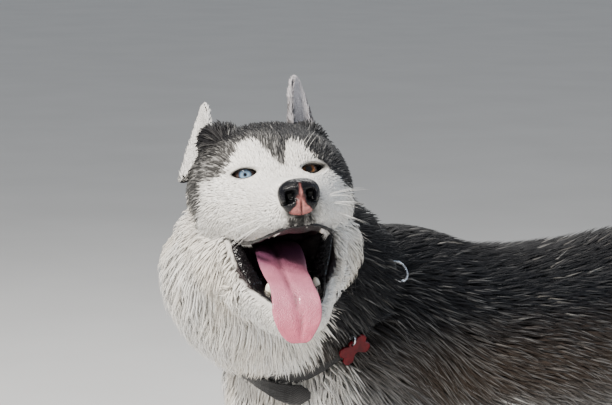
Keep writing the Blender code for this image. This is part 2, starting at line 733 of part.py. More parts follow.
def leaning_room(name, seam, matrix, reach, gap=0.0):
    """The room in front of a plane, given by a point on it and how far it leans."""
    point, lean = seam
    turn = Matrix.Rotation(-lean, 4, "X")
    ahead = turn @ Vector((0.0, -1.0, 0.0))
    centre = point + ahead * (reach / 2)
    made = box(name, centre, (reach * 1.2, reach + 2 * gap, reach * 1.6), turn)
    made.data.transform(matrix)
    return made


def plain_room(name, corners, side=1, gap=0.0):
    """A room between two corners, mirrored for the right side."""
    low, high = (Vector(corner) for corner in corners)
    low -= Vector((gap, gap, gap))
    high += Vector((gap, gap, gap))
    centre = (low + high) / 2
    centre.x *= side
    return box(name, centre, high - low)


def rooms(gap=0.0):
    """The rooms of the parts of the coat by node name."""
    made = {"head": leaning_room("head_room", HEAD_SEAM, HEAD, 0.30, gap)}
    made["neck"] = leaning_room("neck_room", NECK_SEAM, Matrix(), 0.60, gap)
    for name in STRIDE:
        corners = FRONT_ROOM if name.startswith("front") else HIND_ROOM
        made[name] = plain_room(name, corners, 1 if name.endswith("left") else -1, gap)
    made["tail_root"] = plain_room("tail_room", TAIL_ROOM, 1, gap)
    made["tail_plume"] = plain_room("plume_room", PLUME_ROOM, 1, gap)
    return made


def coat_parts(body, face):
    """The plain coat parted into head, neck, legs, tail and torso, a small gap between them."""
    inside, outside = rooms(), rooms(GAP)
    parts = {"head": cut(face, [inside["head"]], "INTERSECT")}
    neck = cut(copy_of(body, "neck"), [inside["neck"]], "INTERSECT")
    parts["neck"] = largest(cut(neck, [outside["head"]]))
    for name in (*STRIDE, "tail_root", "tail_plume"):
        part = cut(copy_of(body, name), [inside[name]], "INTERSECT")
        others = [outside["tail_plume"]] if name == "tail_root" else []
        parts[name] = largest(cut(part, others))
    taken = [room for name, room in outside.items()]
    parts["torso"] = largest(cut(body, taken))
    for room in (*inside.values(), *outside.values()):
        bpy.data.objects.remove(room)
    return parts


def eye_frame(name):
    """Where an eye sits, its own -Y along the gaze."""
    side = SIDES[name]
    return HEAD @ Matrix.Translation(EYES[name]) @ Matrix.Rotation(side * EYE_OUTWARD, 4, "Z")


def eye_ball(name):
    return ellipsoid("eye_" + name, (0, 0, 0), (EYE_RADIUS,) * 3, eye_frame(name), 14, 8)


def lid_cutter(name):
    """A prism along the gaze, the almond shape of the open lids, wider in front."""
    wide, high = EYE_OPENING
    rows = [(0, y, 0, wide * flare, high * flare, high * flare) for y, flare in LID_FLARE]
    return loft("lid_cutter", rings(np.array(rows), 20, square=1.4), eye_frame(name))


def lip(name, path, matrix):
    """The rounded edge of a lip, from one corner of the mouth round to the other."""
    left = np.array(path)
    right = left[::-1] * (-1, 1, 1)
    points = np.vstack([left, right])
    return tube(name, points, np.full(len(points), LIP_RADIUS), 6, matrix)


def teeth(name, row, up, matrix):
    """Pointed teeth in a jaw, sunk a little at the root and leaning back."""
    made = []
    for k, ((x, y, z), length, radius) in enumerate(row):
        for side in (-1, 1):
            points = ((side * x, y, z - up * TOOTH_SINK), (side * x, y + 0.15 * length, z + up * length))
            made.append(tube(f"{name}_{k}_{side}", points, (radius, radius * 0.2), 5, matrix))
    return made


def tongue():
    """The tongue, a flat loft with a groove down its middle, hanging over the lower lip."""
    rows = smooth_rows(TONGUE, 2)
    points = rings(rows, 12, square=2.3)
    centre, across, up = section_frames(rows, np.array((1.0, 0.0, 0.0)))
    offset = points - centre[:, None]
    aside = np.einsum("ijk,ik->ij", offset, across) / rows[:, 3:4]
    above = np.einsum("ijk,ik->ij", offset, up) > 0
    fall = TONGUE_GROOVE * np.exp(-((aside / 0.22) ** 2)) * above
    points = points - fall[..., None] * up[:, None]
    return loft("tongue", points, HEAD)


def nose():
    """The nose pad, broader above than below, with its two nostrils and their slits."""
    rows = np.array(NOSE)
    points = rings(rows, 16, square=2.3)
    lift = (points[..., 2] - rows[:, None, 2]) / rows[:, None, 4]
    points[..., 0] *= 1 + 0.14 * lift
    made = loft("nose", points, HEAD)
    (x, y, z), sizes = NOSTRIL
    holes = [ellipsoid("nostril", (s * x, y, z), sizes, HEAD, 8, 6) for s in (-1, 1)]
    (x, y, z), sizes = NOSTRIL_SLIT
    holes += [ellipsoid("slit", (s * x, y, z), sizes, HEAD, 8, 5) for s in (-1, 1)]
    return largest(cut(made, holes))


def ear(side):
    """A cupped ear: arcs hung between its two edges, widest low down and narrowing to a rounded tip."""
    inner_foot, outer_foot, tip = (np.array(v) for v in EARS[side])
    base = (inner_foot + outer_foot) / 2
    breadth = np.linalg.norm(outer_foot - inner_foot) / 2
    along = np.array(Vector(tip - base).normalized())
    across = np.array(Vector(outer_foot - base).normalized()) * (1 if side == "left" else -1)
    out = np.array(Vector(np.cross(across, along)).normalized())
    root = base - along * EAR_ROOT
    steps = np.linspace(0.0, 1.0, 7)
    v = np.linspace(-1.0, 1.0, 8)
    rows = []
    for t in steps:
        half = breadth * (1 - t ** EAR_ROUND[side][0]) ** EAR_ROUND[side][1] + EAR_FUR
        wrap = EAR_WRAP[0] + (EAR_WRAP[1] - EAR_WRAP[0]) * t
        radius = half / math.sin(wrap)
        thick = (EAR_THICK[0] + (EAR_THICK[1] - EAR_THICK[0]) * t) * (1 - 0.5 * v * v)
        thick = np.minimum(thick, radius * 0.7)
        centre = root + (tip - root) * t
        arc = v * wrap
        inner = radius - thick
        sunk = radius * (math.cos(wrap) - np.cos(arc))
        back = np.outer(radius * np.sin(arc), across) + EAR_DEPTH * np.outer(sunk, out)
        bend = radius * math.cos(wrap) - inner * np.cos(arc)
        front = np.outer(inner * np.sin(arc), across) + EAR_DEPTH * np.outer(bend, out)
        rows.append(centre + np.vstack([back, front[::-1]]))
    return loft("ear_" + side, np.array(rows), HEAD)


def paw(rows):
    """Four toes with their claws in front of a foot, to be joined to its leg."""
    x, y = rows[-1][:2]
    made = [ellipsoid("pad", (x, y - 0.004, 0.019), (0.0290, 0.0330, 0.0270), segments=10, rows=5)]
    for k, (aside, ahead) in enumerate(TOES):
        centre = Vector((x + aside, y - 0.030 + ahead, 0.0128))
        made.append(ellipsoid(f"toe_{k}", centre, TOE_SIZE, segments=7, rows=5))
        front = centre + Vector((0.0, -TOE_SIZE[1] + 0.004, 0.0015))
        points = (front, front + Vector((0, -CLAW_LENGTH * 0.7, -0.0065)))
        made.append(tube(f"claw_{k}", points, (0.0034, 0.0008), 4))
    return made


def collar_place():
    """The collar's frame: X across the neck, Y along its plane upwards, Z square to it."""
    turn = Matrix.Rotation(COLLAR_TURN, 4, "Z")
    lean = Matrix.Rotation(math.pi / 2 - COLLAR_LEAN, 4, "X")
    return Matrix.Translation(COLLAR_AT) @ turn @ lean


def band(name, profile, around=64):
    """A ring round the collar's oval with a profile of (outwards, along the axis) points."""
    angle = np.arange(around) * 2 * math.pi / around
    a, b = COLLAR_SIZE
    oval = np.column_stack([a * np.cos(angle), b * np.sin(angle), 0 * angle])
    out = unit(np.column_stack([np.cos(angle) / a, np.sin(angle) / b, 0 * angle]))
    axis = np.array((0.0, 0.0, 1.0))
    points = np.stack([oval + out * r + axis * h for r, h in profile], axis=1)
    build = bmesh.new()
    grid = [[build.verts.new(p) for p in row] for row in points]
    sides = len(profile)
    for i in range(around):
        for k in range(sides):
            j, n = (i + 1) % around, (k + 1) % sides
            build.faces.new((grid[i][k], grid[j][k], grid[j][n], grid[i][n]))
    return closed_object(name, build, collar_place())


def collar_point(angle, out, along=0.0):
    """A frame on the collar's outer face: X round it, Y along the axis, Z outwards."""
    a, b = COLLAR_SIZE
    normal = Vector((math.cos(angle) / a, math.sin(angle) / b, 0.0)).normalized()
    axis = Vector((0.0, 0.0, 1.0))
    place = Vector((a * math.cos(angle), b * math.sin(angle), along)) + normal * out
    round_it = axis.cross(normal)
    frame = Matrix((round_it, axis, normal)).transposed().to_4x4()
    return collar_place() @ Matrix.Translation(place) @ frame


def wire_ring(name, radius, wire, matrix, around=28, sides=8):
    """A round ring of wire in its frame's XY plane."""
    build = bmesh.new()
    turn = np.arange(around) * 2 * math.pi / around
    roll = np.arange(sides) * 2 * math.pi / sides
    reach = radius + wire * np.cos(roll)
    points = np.stack([
        np.outer(np.cos(turn), reach),
        np.outer(np.sin(turn), reach),
        np.outer(np.ones(around), wire * np.sin(roll)),
    ], axis=2)
    grid = [[build.verts.new(p) for p in row] for row in points]
    for i in range(around):
        for k in range(sides):
            j, n = (i + 1) % around, (k + 1) % sides
            build.faces.new((grid[i][k], grid[j][k], grid[j][n], grid[i][n]))
    return closed_object(name, build, matrix)


def tag_outline(count):
    """The bone's outline by angle: the farthest reach of its knobs, its bar and its eyelet."""
    angle = np.arange(count) * 2 * math.pi / count
    ray = np.column_stack([np.cos(angle), np.sin(angle)])
    far, high, knob = TAG_KNOB
    discs = [(sx * far, sy * high, knob) for sx in (-1, 1) for sy in (-1, 1)]
    discs.append((0.0, EYELET[0], EYELET[1]))
    reach = (np.array(TAG_BAR) / np.maximum(np.abs(ray), 1e-6)).min(axis=1)
    for x, y, radius in discs:
        along = ray @ (x, y)
        inside = radius ** 2 - (x * x + y * y - along ** 2)
        reach = np.maximum(reach, np.where(inside > 0, along + np.sqrt(np.maximum(inside, 0)), 0))
    return ray * reach[:, None]


def tag(seat):
    """The bone-shaped tag, its eyelet's hole at the seat."""
    turn = Matrix.Rotation(TAG_TILT, 4, "Z")
    place = seat @ turn @ Matrix.Translation((0.0, -EYELET[0], 0.0))
    outline = tag_outline(28)
    levels = ((-0.5, 0.93), (-0.28, 1.0), (0.28, 1.0), (0.5, 0.93))
    rows = []
    for level, scale in levels:
        rows.append(np.column_stack([outline * scale, np.full(len(outline), TAG_THICK * level)]))
    made = loft("tag", np.array(rows), place)
    hole = tube("hole", ((0, EYELET[0], -0.01), (0, EYELET[0], 0.01)), (EYELET[2],) * 2, 8, place)
    return largest(cut(made, [hole]))


def strap_end():
    """The loose end of the collar: a flat strip with a rounded end, its face to the front."""
    path = [collar_point(math.radians(angle), out, along).translation for angle, out, along in STRAP]
    rows = smooth_rows([(*point, STRAP_WIDTH, STRAP_THICK, STRAP_THICK) for point in path], 2)
    tip = np.array((0.30, 0.94))
    rows[-2:, 3] = STRAP_WIDTH * np.sqrt(1 - tip ** 2)
    axis = collar_place().to_3x3() @ Vector((0.0, 0.0, 1.0))
    flat = rings(rows, 8, hint=tuple(axis), square=5.0)
    hint = (path[-1] - path[0]).cross(Vector(STRAP_FACING))
    if hint.dot(axis) < 0:
        hint.negate()
    turned = rings(rows, 8, hint=tuple(hint), square=5.0)
    weight = np.linspace(0.0, 1.0, len(rows))[:, None, None]
    weight = weight * weight * (3 - 2 * weight)
    return loft("strap_end", flat + (turned - flat) * weight)


def webbing():
    """The collar with what holds its rings, the larger ring, the tag's ring and the tag."""
    half = COLLAR_WIDTH / 2
    profile = ((0, -half), (COLLAR_THICK, -half), (COLLAR_THICK, half), (0, half))
    collar = band("collar", profile, 32)
    angle, radius, wire = SIDE_RING
    seat = collar_point(angle, COLLAR_THICK)
    keeper = ellipsoid("keeper", (0, 0, 0), KEEPER, seat, 8, 6)
    lie = Matrix.Translation((0, -radius, 0.0034)) @ Matrix.Rotation(math.radians(-20), 4, "X")
    side_ring = wire_ring("collar_ring", radius, wire, seat @ lie, 18, 6)
    angle, radius, wire = TAG_RING
    seat = collar_point(angle, COLLAR_THICK / 2 + TAB_OUT, TAB_ABOVE)
    down = seat.to_3x3().inverted() @ Vector((0.0, 0.0, -1.0))
    seat = seat @ Matrix.Rotation(math.atan2(down.x, -down.y), 4, "Z")
    hang = seat @ Matrix.Rotation(-TAB_LIFT, 4, "X")
    united(collar, [keeper, ellipsoid("tab", (0, 0, 0), TAB, hang, 10, 5)])
    drop = TAB_HOLE - wire - GAP
    top = -TAB[1] * 0.45
    hole = tube("hole", ((0, top, -0.01), (0, top, 0.01)), (TAB_HOLE,) * 2, 8, hang)
    cut(collar, [hole])
    middle = hang @ Vector((0, top - drop - radius, 0))
    ring_place = Matrix.Translation(middle) @ seat.to_3x3().to_4x4()
    tag_ring = wire_ring("tag_ring", radius, wire, ring_place @ Matrix.Rotation(math.pi / 2, 4, "Y"), 14, 5)
    cut(collar, [grown(side_ring)])
    low = ring_place @ Matrix.Translation((0, -radius - EYELET[2] + wire + GAP, 0))
    return largest(collar), side_ring, tag_ring, tag(low)


def stand(parts):
    """Moves the model so that its origin is the middle of its underside."""
    corners = np.array([corner for part in parts for corner in part.bound_box])
    low, high = corners.min(axis=0), corners.max(axis=0)
    shift = Matrix.Translation((-(low[0] + high[0]) / 2, -(low[1] + high[1]) / 2, -low[2]))
    for part in parts:
        part.data.transform(shift)


def groomed(parts):
    """Joins the locks to the parts that bear them."""
    groom(parts["torso"], "chest_lock", paired(CHEST_LOCKS), CHEST_LOCK, 0.010)
    groom(parts["torso"], "breech_lock", paired(BREECH_LOCKS), BREECH_LOCK, 0.014)
    ruff = round_form(sunk(NECK, RUFF_DEPTH), RUFF_LOCKS, 0.3)
    groom(parts["neck"], "ruff_lock", ruff, RUFF_LOCK, RUFF_DEPTH[2])
    groom(parts["head"], "cheek_lock", paired(CHEEK_LOCKS, HEAD), CHEEK_LOCK, 0.010)
    tail = sunk(TAIL, BRUSH_DEPTH)
    for name, layout in (
        ("tail_root", [row for row in BRUSH_LOCKS if row[0] < BRUSH_SPLIT]),
        ("tail_plume", [row for row in BRUSH_LOCKS if row[0] > BRUSH_SPLIT]),
    ):
        groom(parts[name], "brush_lock", round_form(tail, layout, 0.6), BRUSH_LOCK, BRUSH_DEPTH[0])


def main():
    body = fused("body", trunk_forms() + head_forms(), 0.007, 6, 1900)
    neck_form = loft("neck", rings(smooth_rows(sunk(NECK, RUFF_DEPTH), 4), 32))
    face = fused("face", head_forms() + [neck_form], 0.003, 12, 2250)
    parts = coat_parts(body, face)
    head, neck, torso = parts["head"], parts["neck"], parts["torso"]
    groomed(parts)
    united(head, [ellipsoid("lids", (0, 0, 0), LID_SIZE, eye_frame(side), 12, 7) for side in SIDES])
    united(head, [lip("upper_lip", UPPER_LIP, HEAD), lip("lower_lip", LOWER_LIP, HEAD)])
    for cutter in (
        loft("palate", rings(smooth_rows(PALATE, 2), 14, square=2.4), HEAD),
        loft("gape", rings(smooth_rows(GAPE, 2), 16, square=2.6), HEAD),
        loft("jaw_floor", rings(smooth_rows(JAW_FLOOR, 2), 14, square=2.4), JAW),
    ):
        cut(head, [cutter])
    united(head, teeth("upper_tooth", UPPER_TEETH, -1, HEAD) + teeth("lower_tooth", LOWER_TEETH, 1, JAW))
    pieces = {
        "tongue": (tongue(), "tongue_flesh"),
        "nose": (nose(), "nose_leather"),
        "eye_left": (eye_ball("left"), "eye_brown"),
        "eye_right": (eye_ball("right"), "eye_blue"),
    }
    cut(head, [lid_cutter(side) for side in SIDES])
    for name, (piece, look) in pieces.items():
        cut(head, [grown(piece)])
        finish(piece, name, look)
    half = COLLAR_WIDTH / 2
    flare = half + GROOVE_FLARE
    groove = ((-GAP, -half - GAP), (GROOVE_REACH, -flare), (GROOVE_REACH, flare), (-GAP, half + GAP))
    cut(neck, [band("groove", groove, 32)])
    collar, side_ring, tag_ring, badge = webbing()
    strap = clear_of(strap_end(), [collar])
    for part in (neck, torso, head):
        largest(cut(part, [grown(worn) for worn in (collar, strap, badge, tag_ring, side_ring)]))
    clear_of(neck, [torso])
    clear_of(head, [neck])
    clear_of(parts["tail_root"], [torso])
    clear_of(parts["tail_plume"], [parts["tail_root"]])
    for side in SIDES:
        finish(clear_of(ear(side), [head, neck]), "ear_" + side, "coat_grey")
    for name, rows in legs().items():
        leg = united(parts.pop(name), paw(rows))
        cut(leg, [box("below", (0, 0.1, -0.05), (1, 2, 0.1))])
        clear_of(leg, [torso])
        where, side = name.split("_")
        finish(leg, f"leg_{where}_{side}", "coat_white")
    finish(collar, "collar", "webbing")
    finish(strap, "collar_end", "webbing")
    finish(side_ring, "collar_ring", "steel")
    finish(tag_ring, "tag_ring", "steel")
    finish(badge, "tag", "red_enamel")
    for name, part in parts.items():
        finish(part, name, "coat_white" if name == "head" else "coat_grey")
    stand(list(HUSKY.objects))


clear_scene()
HUSKY = new_collection("siberian_husky")
WORKSHOP = new_collection("workshop", hidden=True)
main()
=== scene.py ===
"""Siberian husky, life size, standing with its head turned to its left: the looks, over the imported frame.

Metres, +Z up. Forms are given in the animal's own frame: it faces -Y, its left side is +X, its feet are on Z = 0.
The head has a frame of its own between the eyes: X to its left, Y to the back and Z up.
"""

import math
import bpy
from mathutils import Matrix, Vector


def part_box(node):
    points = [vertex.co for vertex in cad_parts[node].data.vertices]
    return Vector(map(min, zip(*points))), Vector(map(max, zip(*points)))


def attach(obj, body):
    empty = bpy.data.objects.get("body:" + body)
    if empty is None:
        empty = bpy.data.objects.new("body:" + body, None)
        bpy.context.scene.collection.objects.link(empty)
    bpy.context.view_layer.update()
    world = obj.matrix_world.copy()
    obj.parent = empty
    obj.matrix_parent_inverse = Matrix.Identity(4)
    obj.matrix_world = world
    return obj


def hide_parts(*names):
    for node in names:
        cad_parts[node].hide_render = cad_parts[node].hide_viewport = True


bl_info = {
    "name": "Siberian husky",
    "version": (1, 0, 0),
    "blender": (4, 5, 0),
    "location": "3D View > Sidebar > Husky",
    "description": "Skin, coat, eyes, mouth and collar of a life-size siberian husky",
    "category": "Add Mesh",
}

import bpy
import numpy as np
from mathutils import Matrix, Vector

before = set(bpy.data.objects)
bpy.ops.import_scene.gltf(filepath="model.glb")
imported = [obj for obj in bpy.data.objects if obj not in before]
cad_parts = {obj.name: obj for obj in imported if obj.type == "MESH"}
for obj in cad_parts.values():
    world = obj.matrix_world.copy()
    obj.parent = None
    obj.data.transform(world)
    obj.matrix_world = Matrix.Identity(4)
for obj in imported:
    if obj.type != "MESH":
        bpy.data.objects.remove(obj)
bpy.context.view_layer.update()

SIDES = {"left": 1, "right": -1}

# The head's place and turn, and the open jaw
BETWEEN_EYES = Vector((0.163, -0.238, 0.656))
HEAD = (
    Matrix.Translation(BETWEEN_EYES)
    @ Matrix.Rotation(math.radians(69.9), 4, "Z")
    @ Matrix.Rotation(math.radians(-11.4), 4, "X")
    @ Matrix.Rotation(math.radians(-4.8), 4, "Y")
)
JAW_HINGE = Vector((0.0, 0.060, -0.045))
JAW = (
    HEAD
    @ Matrix.Translation(JAW_HINGE)
    @ Matrix.Rotation(math.radians(25.0), 4, "X")
    @ Matrix.Translation(-JAW_HINGE)
)
EYES = {"left": Vector((0.0272, -0.0062, -0.0025)), "right": Vector((-0.0297, -0.0062, -0.0005))}
EYE_RADIUS = 0.0132
EYE_BACK = 0.0013

# The frame's origin is the middle of the model's underside, so the animal's own frame is moved to it
_low, _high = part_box("eye_left")
SHIFT = (np.array(_low) + np.array(_high)) / 2 - np.array(HEAD @ EYES["left"])
PLACE = Matrix.Translation(SHIFT)
HEAD_AT = PLACE @ HEAD
JAW_AT = PLACE @ JAW

# Sections of the coat's outer surface: x, y, z, half width, rise and drop
SKULL = (
    (0, -0.1060, -0.0400, 0.0100, 0.0100, 0.0100),
    (0, -0.1020, -0.0400, 0.0220, 0.0190, 0.0180),
    (0, -0.0920, -0.0400, 0.0295, 0.0265, 0.0250),
    (0, -0.0720, -0.0400, 0.0360, 0.0295, 0.0290),
    (0, -0.0500, -0.0395, 0.0430, 0.0310, 0.0310),
    (0, -0.0320, -0.0370, 0.0510, 0.0350, 0.0350),
    (0, -0.0160, -0.0320, 0.0590, 0.0420, 0.0420),
    (0, -0.0020, -0.0250, 0.0660, 0.0500, 0.0500),
    (0, 0.0160, -0.0180, 0.0720, 0.0600, 0.0600),
    (0, 0.0400, -0.0140, 0.0760, 0.0650, 0.0680),
    (0, 0.0680, -0.0120, 0.0760, 0.0650, 0.0700),
    (0, 0.0960, -0.0120, 0.0670, 0.0570, 0.0640),
    (0, 0.1180, -0.0120, 0.0500, 0.0410, 0.0500),
    (0, 0.1300, -0.0120, 0.0260, 0.0200, 0.0260),
)
MANDIBLE = (
    (0, -0.0900, -0.0800, 0.007, 0.005, 0.005),
    (0, -0.0850, -0.0800, 0.017, 0.010, 0.012),
    (0, -0.0700, -0.0820, 0.025, 0.014, 0.017),
    (0, -0.0450, -0.0840, 0.032, 0.016, 0.021),
    (0, -0.0150, -0.0850, 0.041, 0.018, 0.026),
    (0, 0.0150, -0.0840, 0.050, 0.024, 0.032),
    (0, 0.0450, -0.0780, 0.056, 0.030, 0.034),
    (0, 0.0750, -0.0700, 0.052, 0.032, 0.032),
    (0, 0.0950, -0.0650, 0.032, 0.022, 0.022),
)
BROW = ((0.029, 0.004, 0.021), (0.021, 0.017, 0.013))
CHEEK_BONE = ((0.045, 0.032, -0.030), (0.031, 0.044, 0.036))
JOWL = ((0.043, 0.060, -0.070), (0.039, 0.054, 0.046))
EAR_BASE = {
    "left": ((0.0400, 0.0600, 0.0270), (0.0190, 0.0240, 0.0190)),
    "right": ((-0.0410, 0.0540, 0.0340), (0.0220, 0.0260, 0.0210)),
}
CHEEK_FOLD = (
    (0.0500, 0.0160, -0.0560, 0.010, 0.010, 0.010),
    (0.0490, 0.0130, -0.0640, 0.011, 0.011, 0.011),
    (0.0465, 0.0100, -0.0790, 0.011, 0.011, 0.011),
    (0.0410, 0.0060, -0.0940, 0.011, 0.011, 0.011),
    (0.0345, -0.0010, -0.1080, 0.010, 0.010, 0.010),
    (0.0260, -0.0260, -0.1190, 0.009, 0.009, 0.009),
    (0.0200, -0.0440, -0.1270, 0.008, 0.008, 0.008),
)
PALATE = (
    (0, -0.0900, -0.0660, 0.012, 0.008, 0.020),
    (0, -0.0700, -0.0660, 0.020, 0.012, 0.020),
    (0, -0.0400, -0.0680, 0.026, 0.014, 0.020),
    (0, -0.0100, -0.0720, 0.032, 0.018, 0.020),
    (0, 0.0150, -0.0780, 0.034, 0.020, 0.020),
)
GAPE = (
    (0, -0.0260, -0.0850, 0.066, 0.022, 0.022),
    (0, -0.0120, -0.0830, 0.062, 0.021, 0.021),
    (0, -0.0040, -0.0820, 0.046, 0.019, 0.021),
    (0, 0.0060, -0.0810, 0.040, 0.017, 0.018),
    (0, 0.0200, -0.0790, 0.034, 0.015, 0.014),
    (0, 0.0360, -0.0780, 0.022, 0.010, 0.009),
)
JAW_FLOOR = (
    (0, -0.0780, -0.0640, 0.009, 0.010, 0.010),
    (0, -0.0600, -0.0640, 0.016, 0.010, 0.013),
    (0, -0.0300, -0.0660, 0.021, 0.012, 0.015),
    (0, 0.0000, -0.0700, 0.027, 0.015, 0.014),
    (0, 0.0200, -0.0740, 0.027, 0.012, 0.010),
)
UPPER_LIP = (
    (0.0450, 0.0020, -0.0590),
    (0.0400, -0.0300, -0.0640),
    (0.0340, -0.0600, -0.0640),
    (0.0255, -0.0860, -0.0610),
    (0.0110, -0.0985, -0.0570),
)
LOWER_LIP = (
    (0.0450, 0.0020, -0.0590),
    (0.0415, -0.0010, -0.0740),
    (0.0360, -0.0050, -0.0890),
    (0.0300, -0.0110, -0.1040),
    (0.0250, -0.0340, -0.1145),
    (0.0175, -0.0535, -0.1250),
    (0.0060, -0.0610, -0.1295),
)
NECK = (
    (0.122, -0.224, 0.612, 0.062, 0.054, 0.070),
    (0.094, -0.216, 0.590, 0.078, 0.078, 0.094),
    (0.062, -0.196, 0.562, 0.088, 0.098, 0.104),
    (0.028, -0.156, 0.532, 0.096, 0.104, 0.106),
    (0.006, -0.096, 0.500, 0.102, 0.100, 0.110),
    (0.000, -0.030, 0.468, 0.102, 0.093, 0.110),
    (0.000, 0.020, 0.450, 0.092, 0.086, 0.100),
)
TRUNK = (
    (0, -0.178, 0.418, 0.038, 0.045, 0.050),
    (0, -0.160, 0.420, 0.074, 0.082, 0.086),
    (0, -0.115, 0.424, 0.102, 0.112, 0.122),
    (0, -0.050, 0.428, 0.113, 0.136, 0.138),
    (0, 0.010, 0.430, 0.117, 0.136, 0.142),
    (0, 0.080, 0.430, 0.120, 0.114, 0.138),
    (0, 0.150, 0.432, 0.118, 0.106, 0.124),
    (0, 0.220, 0.438, 0.110, 0.100, 0.108),
    (0, 0.290, 0.444, 0.104, 0.100, 0.098),
    (0, 0.350, 0.446, 0.100, 0.098, 0.096),
    (0, 0.400, 0.440, 0.086, 0.086, 0.086),
    (0, 0.436, 0.430, 0.050, 0.056, 0.056),
)
# Sections of the legs from the top: y, z, distance from the middle, half width, half depth behind, in front
FORELEG = (
    (-0.060, 0.470, 0.070, 0.030, 0.050, 0.055),
    (-0.085, 0.410, 0.082, 0.038, 0.066, 0.066),
    (-0.060, 0.350, 0.088, 0.040, 0.064, 0.062),
    (-0.024, 0.300, 0.088, 0.036, 0.046, 0.050),
    (-0.018, 0.245, 0.086, 0.031, 0.034, 0.036),
    (-0.022, 0.180, 0.083, 0.026, 0.026, 0.028),
    (-0.026, 0.130, 0.081, 0.025, 0.025, 0.027),
    (-0.034, 0.080, 0.081, 0.024, 0.024, 0.025),
    (-0.048, 0.045, 0.082, 0.027, 0.026, 0.026),
    (-0.062, 0.026, 0.083, 0.028, 0.030, 0.026),
)
HINDLEG = (
    (0.330, 0.470, 0.062, 0.040, 0.080, 0.070),
    (0.335, 0.400, 0.078, 0.048, 0.092, 0.092),
    (0.322, 0.335, 0.086, 0.048, 0.084, 0.078),
    (0.330, 0.275, 0.088, 0.040, 0.062, 0.056),
    (0.362, 0.220, 0.084, 0.031, 0.042, 0.038),
    (0.398, 0.170, 0.079, 0.025, 0.028, 0.028),
    (0.408, 0.130, 0.077, 0.023, 0.024, 0.025),
    (0.402, 0.080, 0.077, 0.023, 0.023, 0.024),
    (0.390, 0.045, 0.078, 0.026, 0.026, 0.026),
    (0.376, 0.026, 0.079, 0.027, 0.030, 0.026),
)
STRIDE = {"front_left": 0.000, "front_right": 0.026, "hind_left": 0.022, "hind_right": -0.018}
TOE_SIZE = (0.0105, 0.0190, 0.0130)
TOES = ((-0.0225, 0.006), (-0.0085, -0.010), (0.0085, -0.010), (0.0225, 0.006))
TAIL = (
    (0.000, 0.400, 0.490, 0.035, 0.035, 0.035),
    (0.000, 0.445, 0.520, 0.039, 0.039, 0.039),
    (0.002, 0.495, 0.568, 0.046, 0.046, 0.046),
    (0.005, 0.528, 0.630, 0.053, 0.053, 0.053),
    (0.009, 0.528, 0.694, 0.057, 0.057, 0.057),
    (0.013, 0.494, 0.742, 0.055, 0.055, 0.055),
    (0.017, 0.446, 0.762, 0.047, 0.047, 0.047),
    (0.020, 0.398, 0.758, 0.032, 0.032, 0.032),
)
EARS = {
    "left": ((0.0305, 0.0580, 0.0529), (0.0558, 0.0940, 0.0421), (0.0501, 0.1280, 0.0944)),
    "right": ((-0.0475, 0.0600, 0.0525), (-0.0751, 0.0880, 0.0121), (-0.0413, 0.1240, 0.0758)),
}
# How each ear narrows: the power of the way up, then the power of what that leaves
EAR_ROUND = {"left": (1.7, 0.62), "right": (1.2, 0.82)}
EAR_DEPTH = 0.45
EAR_WRAP = (math.radians(88.0), math.radians(50.0))
EAR_THICK = (0.0055, 0.0035)
EAR_ROOT = 0.014
COLLAR_AT = Vector((0.0123, -0.1170, 0.5050))
COLLAR_SIZE = (0.0900, 0.1000)
COLLAR = (
    PLACE
    @ Matrix.Translation(COLLAR_AT)
    @ Matrix.Rotation(math.radians(13.8), 4, "Z")
    @ Matrix.Rotation(math.radians(47.5), 4, "X")
)

# Depth of the coat over the skin on each form: at which y or row, and how deep there
FACE_DEPTH = ((-0.106, -0.050, 0.000, 0.050, 0.130), (0.0025, 0.0030, 0.0055, 0.0110, 0.0120))
NECK_DEPTH = (0.016, 0.024, 0.028, 0.030, 0.030, 0.028, 0.024)
TRUNK_DEPTH = ((0.020, 0.020, 0.016),)
LEG_DEPTH = (0.012, 0.014, 0.012, 0.008, 0.006, 0.0045, 0.004, 0.004, 0.003, 0.003)
TAIL_DEPTH = (0.022, 0.026, 0.030, 0.034, 0.036, 0.036, 0.032, 0.022)
MASS_DEPTH = {"brow": 0.006, "cheek_bone": 0.011, "jowl": 0.013, "ear_base": 0.006}
SKIN_GRAIN = 0.0037

# The eyes' openings, the gaze outwards and where the middle of each pupil is across the gaze
EYE_OPENING = (0.0114, 0.0046)
EYE_OUTWARD = math.radians(14.0)
PUPIL_AT = {"left": (-0.0026, -0.0006), "right": (0.0010, -0.0014)}

# The lips' edges are those of the mouth; the lower lip's dark band is this broad
LOWER_LIP_BREADTH = 0.0120

# The tongue from its tip to its root, and the nose pad from back to front: x, y, z, half width, rise, drop
TONGUE = (
    (-0.0105, -0.0780, -0.1585, 0.0070, 0.0014, 0.0018),
    (-0.0102, -0.0785, -0.1540, 0.0128, 0.0022, 0.0028),
    (-0.0098, -0.0785, -0.1440, 0.0190, 0.0032, 0.0036),
    (-0.0090, -0.0775, -0.1320, 0.0222, 0.0032, 0.0036),
    (-0.0085, -0.0740, -0.1200, 0.0212, 0.0040, 0.0044),
    (-0.0090, -0.0640, -0.1080, 0.0195, 0.0040, 0.0044),
    (-0.0092, -0.0460, -0.0970, 0.0198, 0.0040, 0.0044),
    (-0.0085, -0.0240, -0.0830, 0.0215, 0.0040, 0.0044),
    (-0.0060, 0.0040, -0.0700, 0.0205, 0.0040, 0.0044),
    (-0.0010, 0.0380, -0.0690, 0.0150, 0.0040, 0.0044),
)
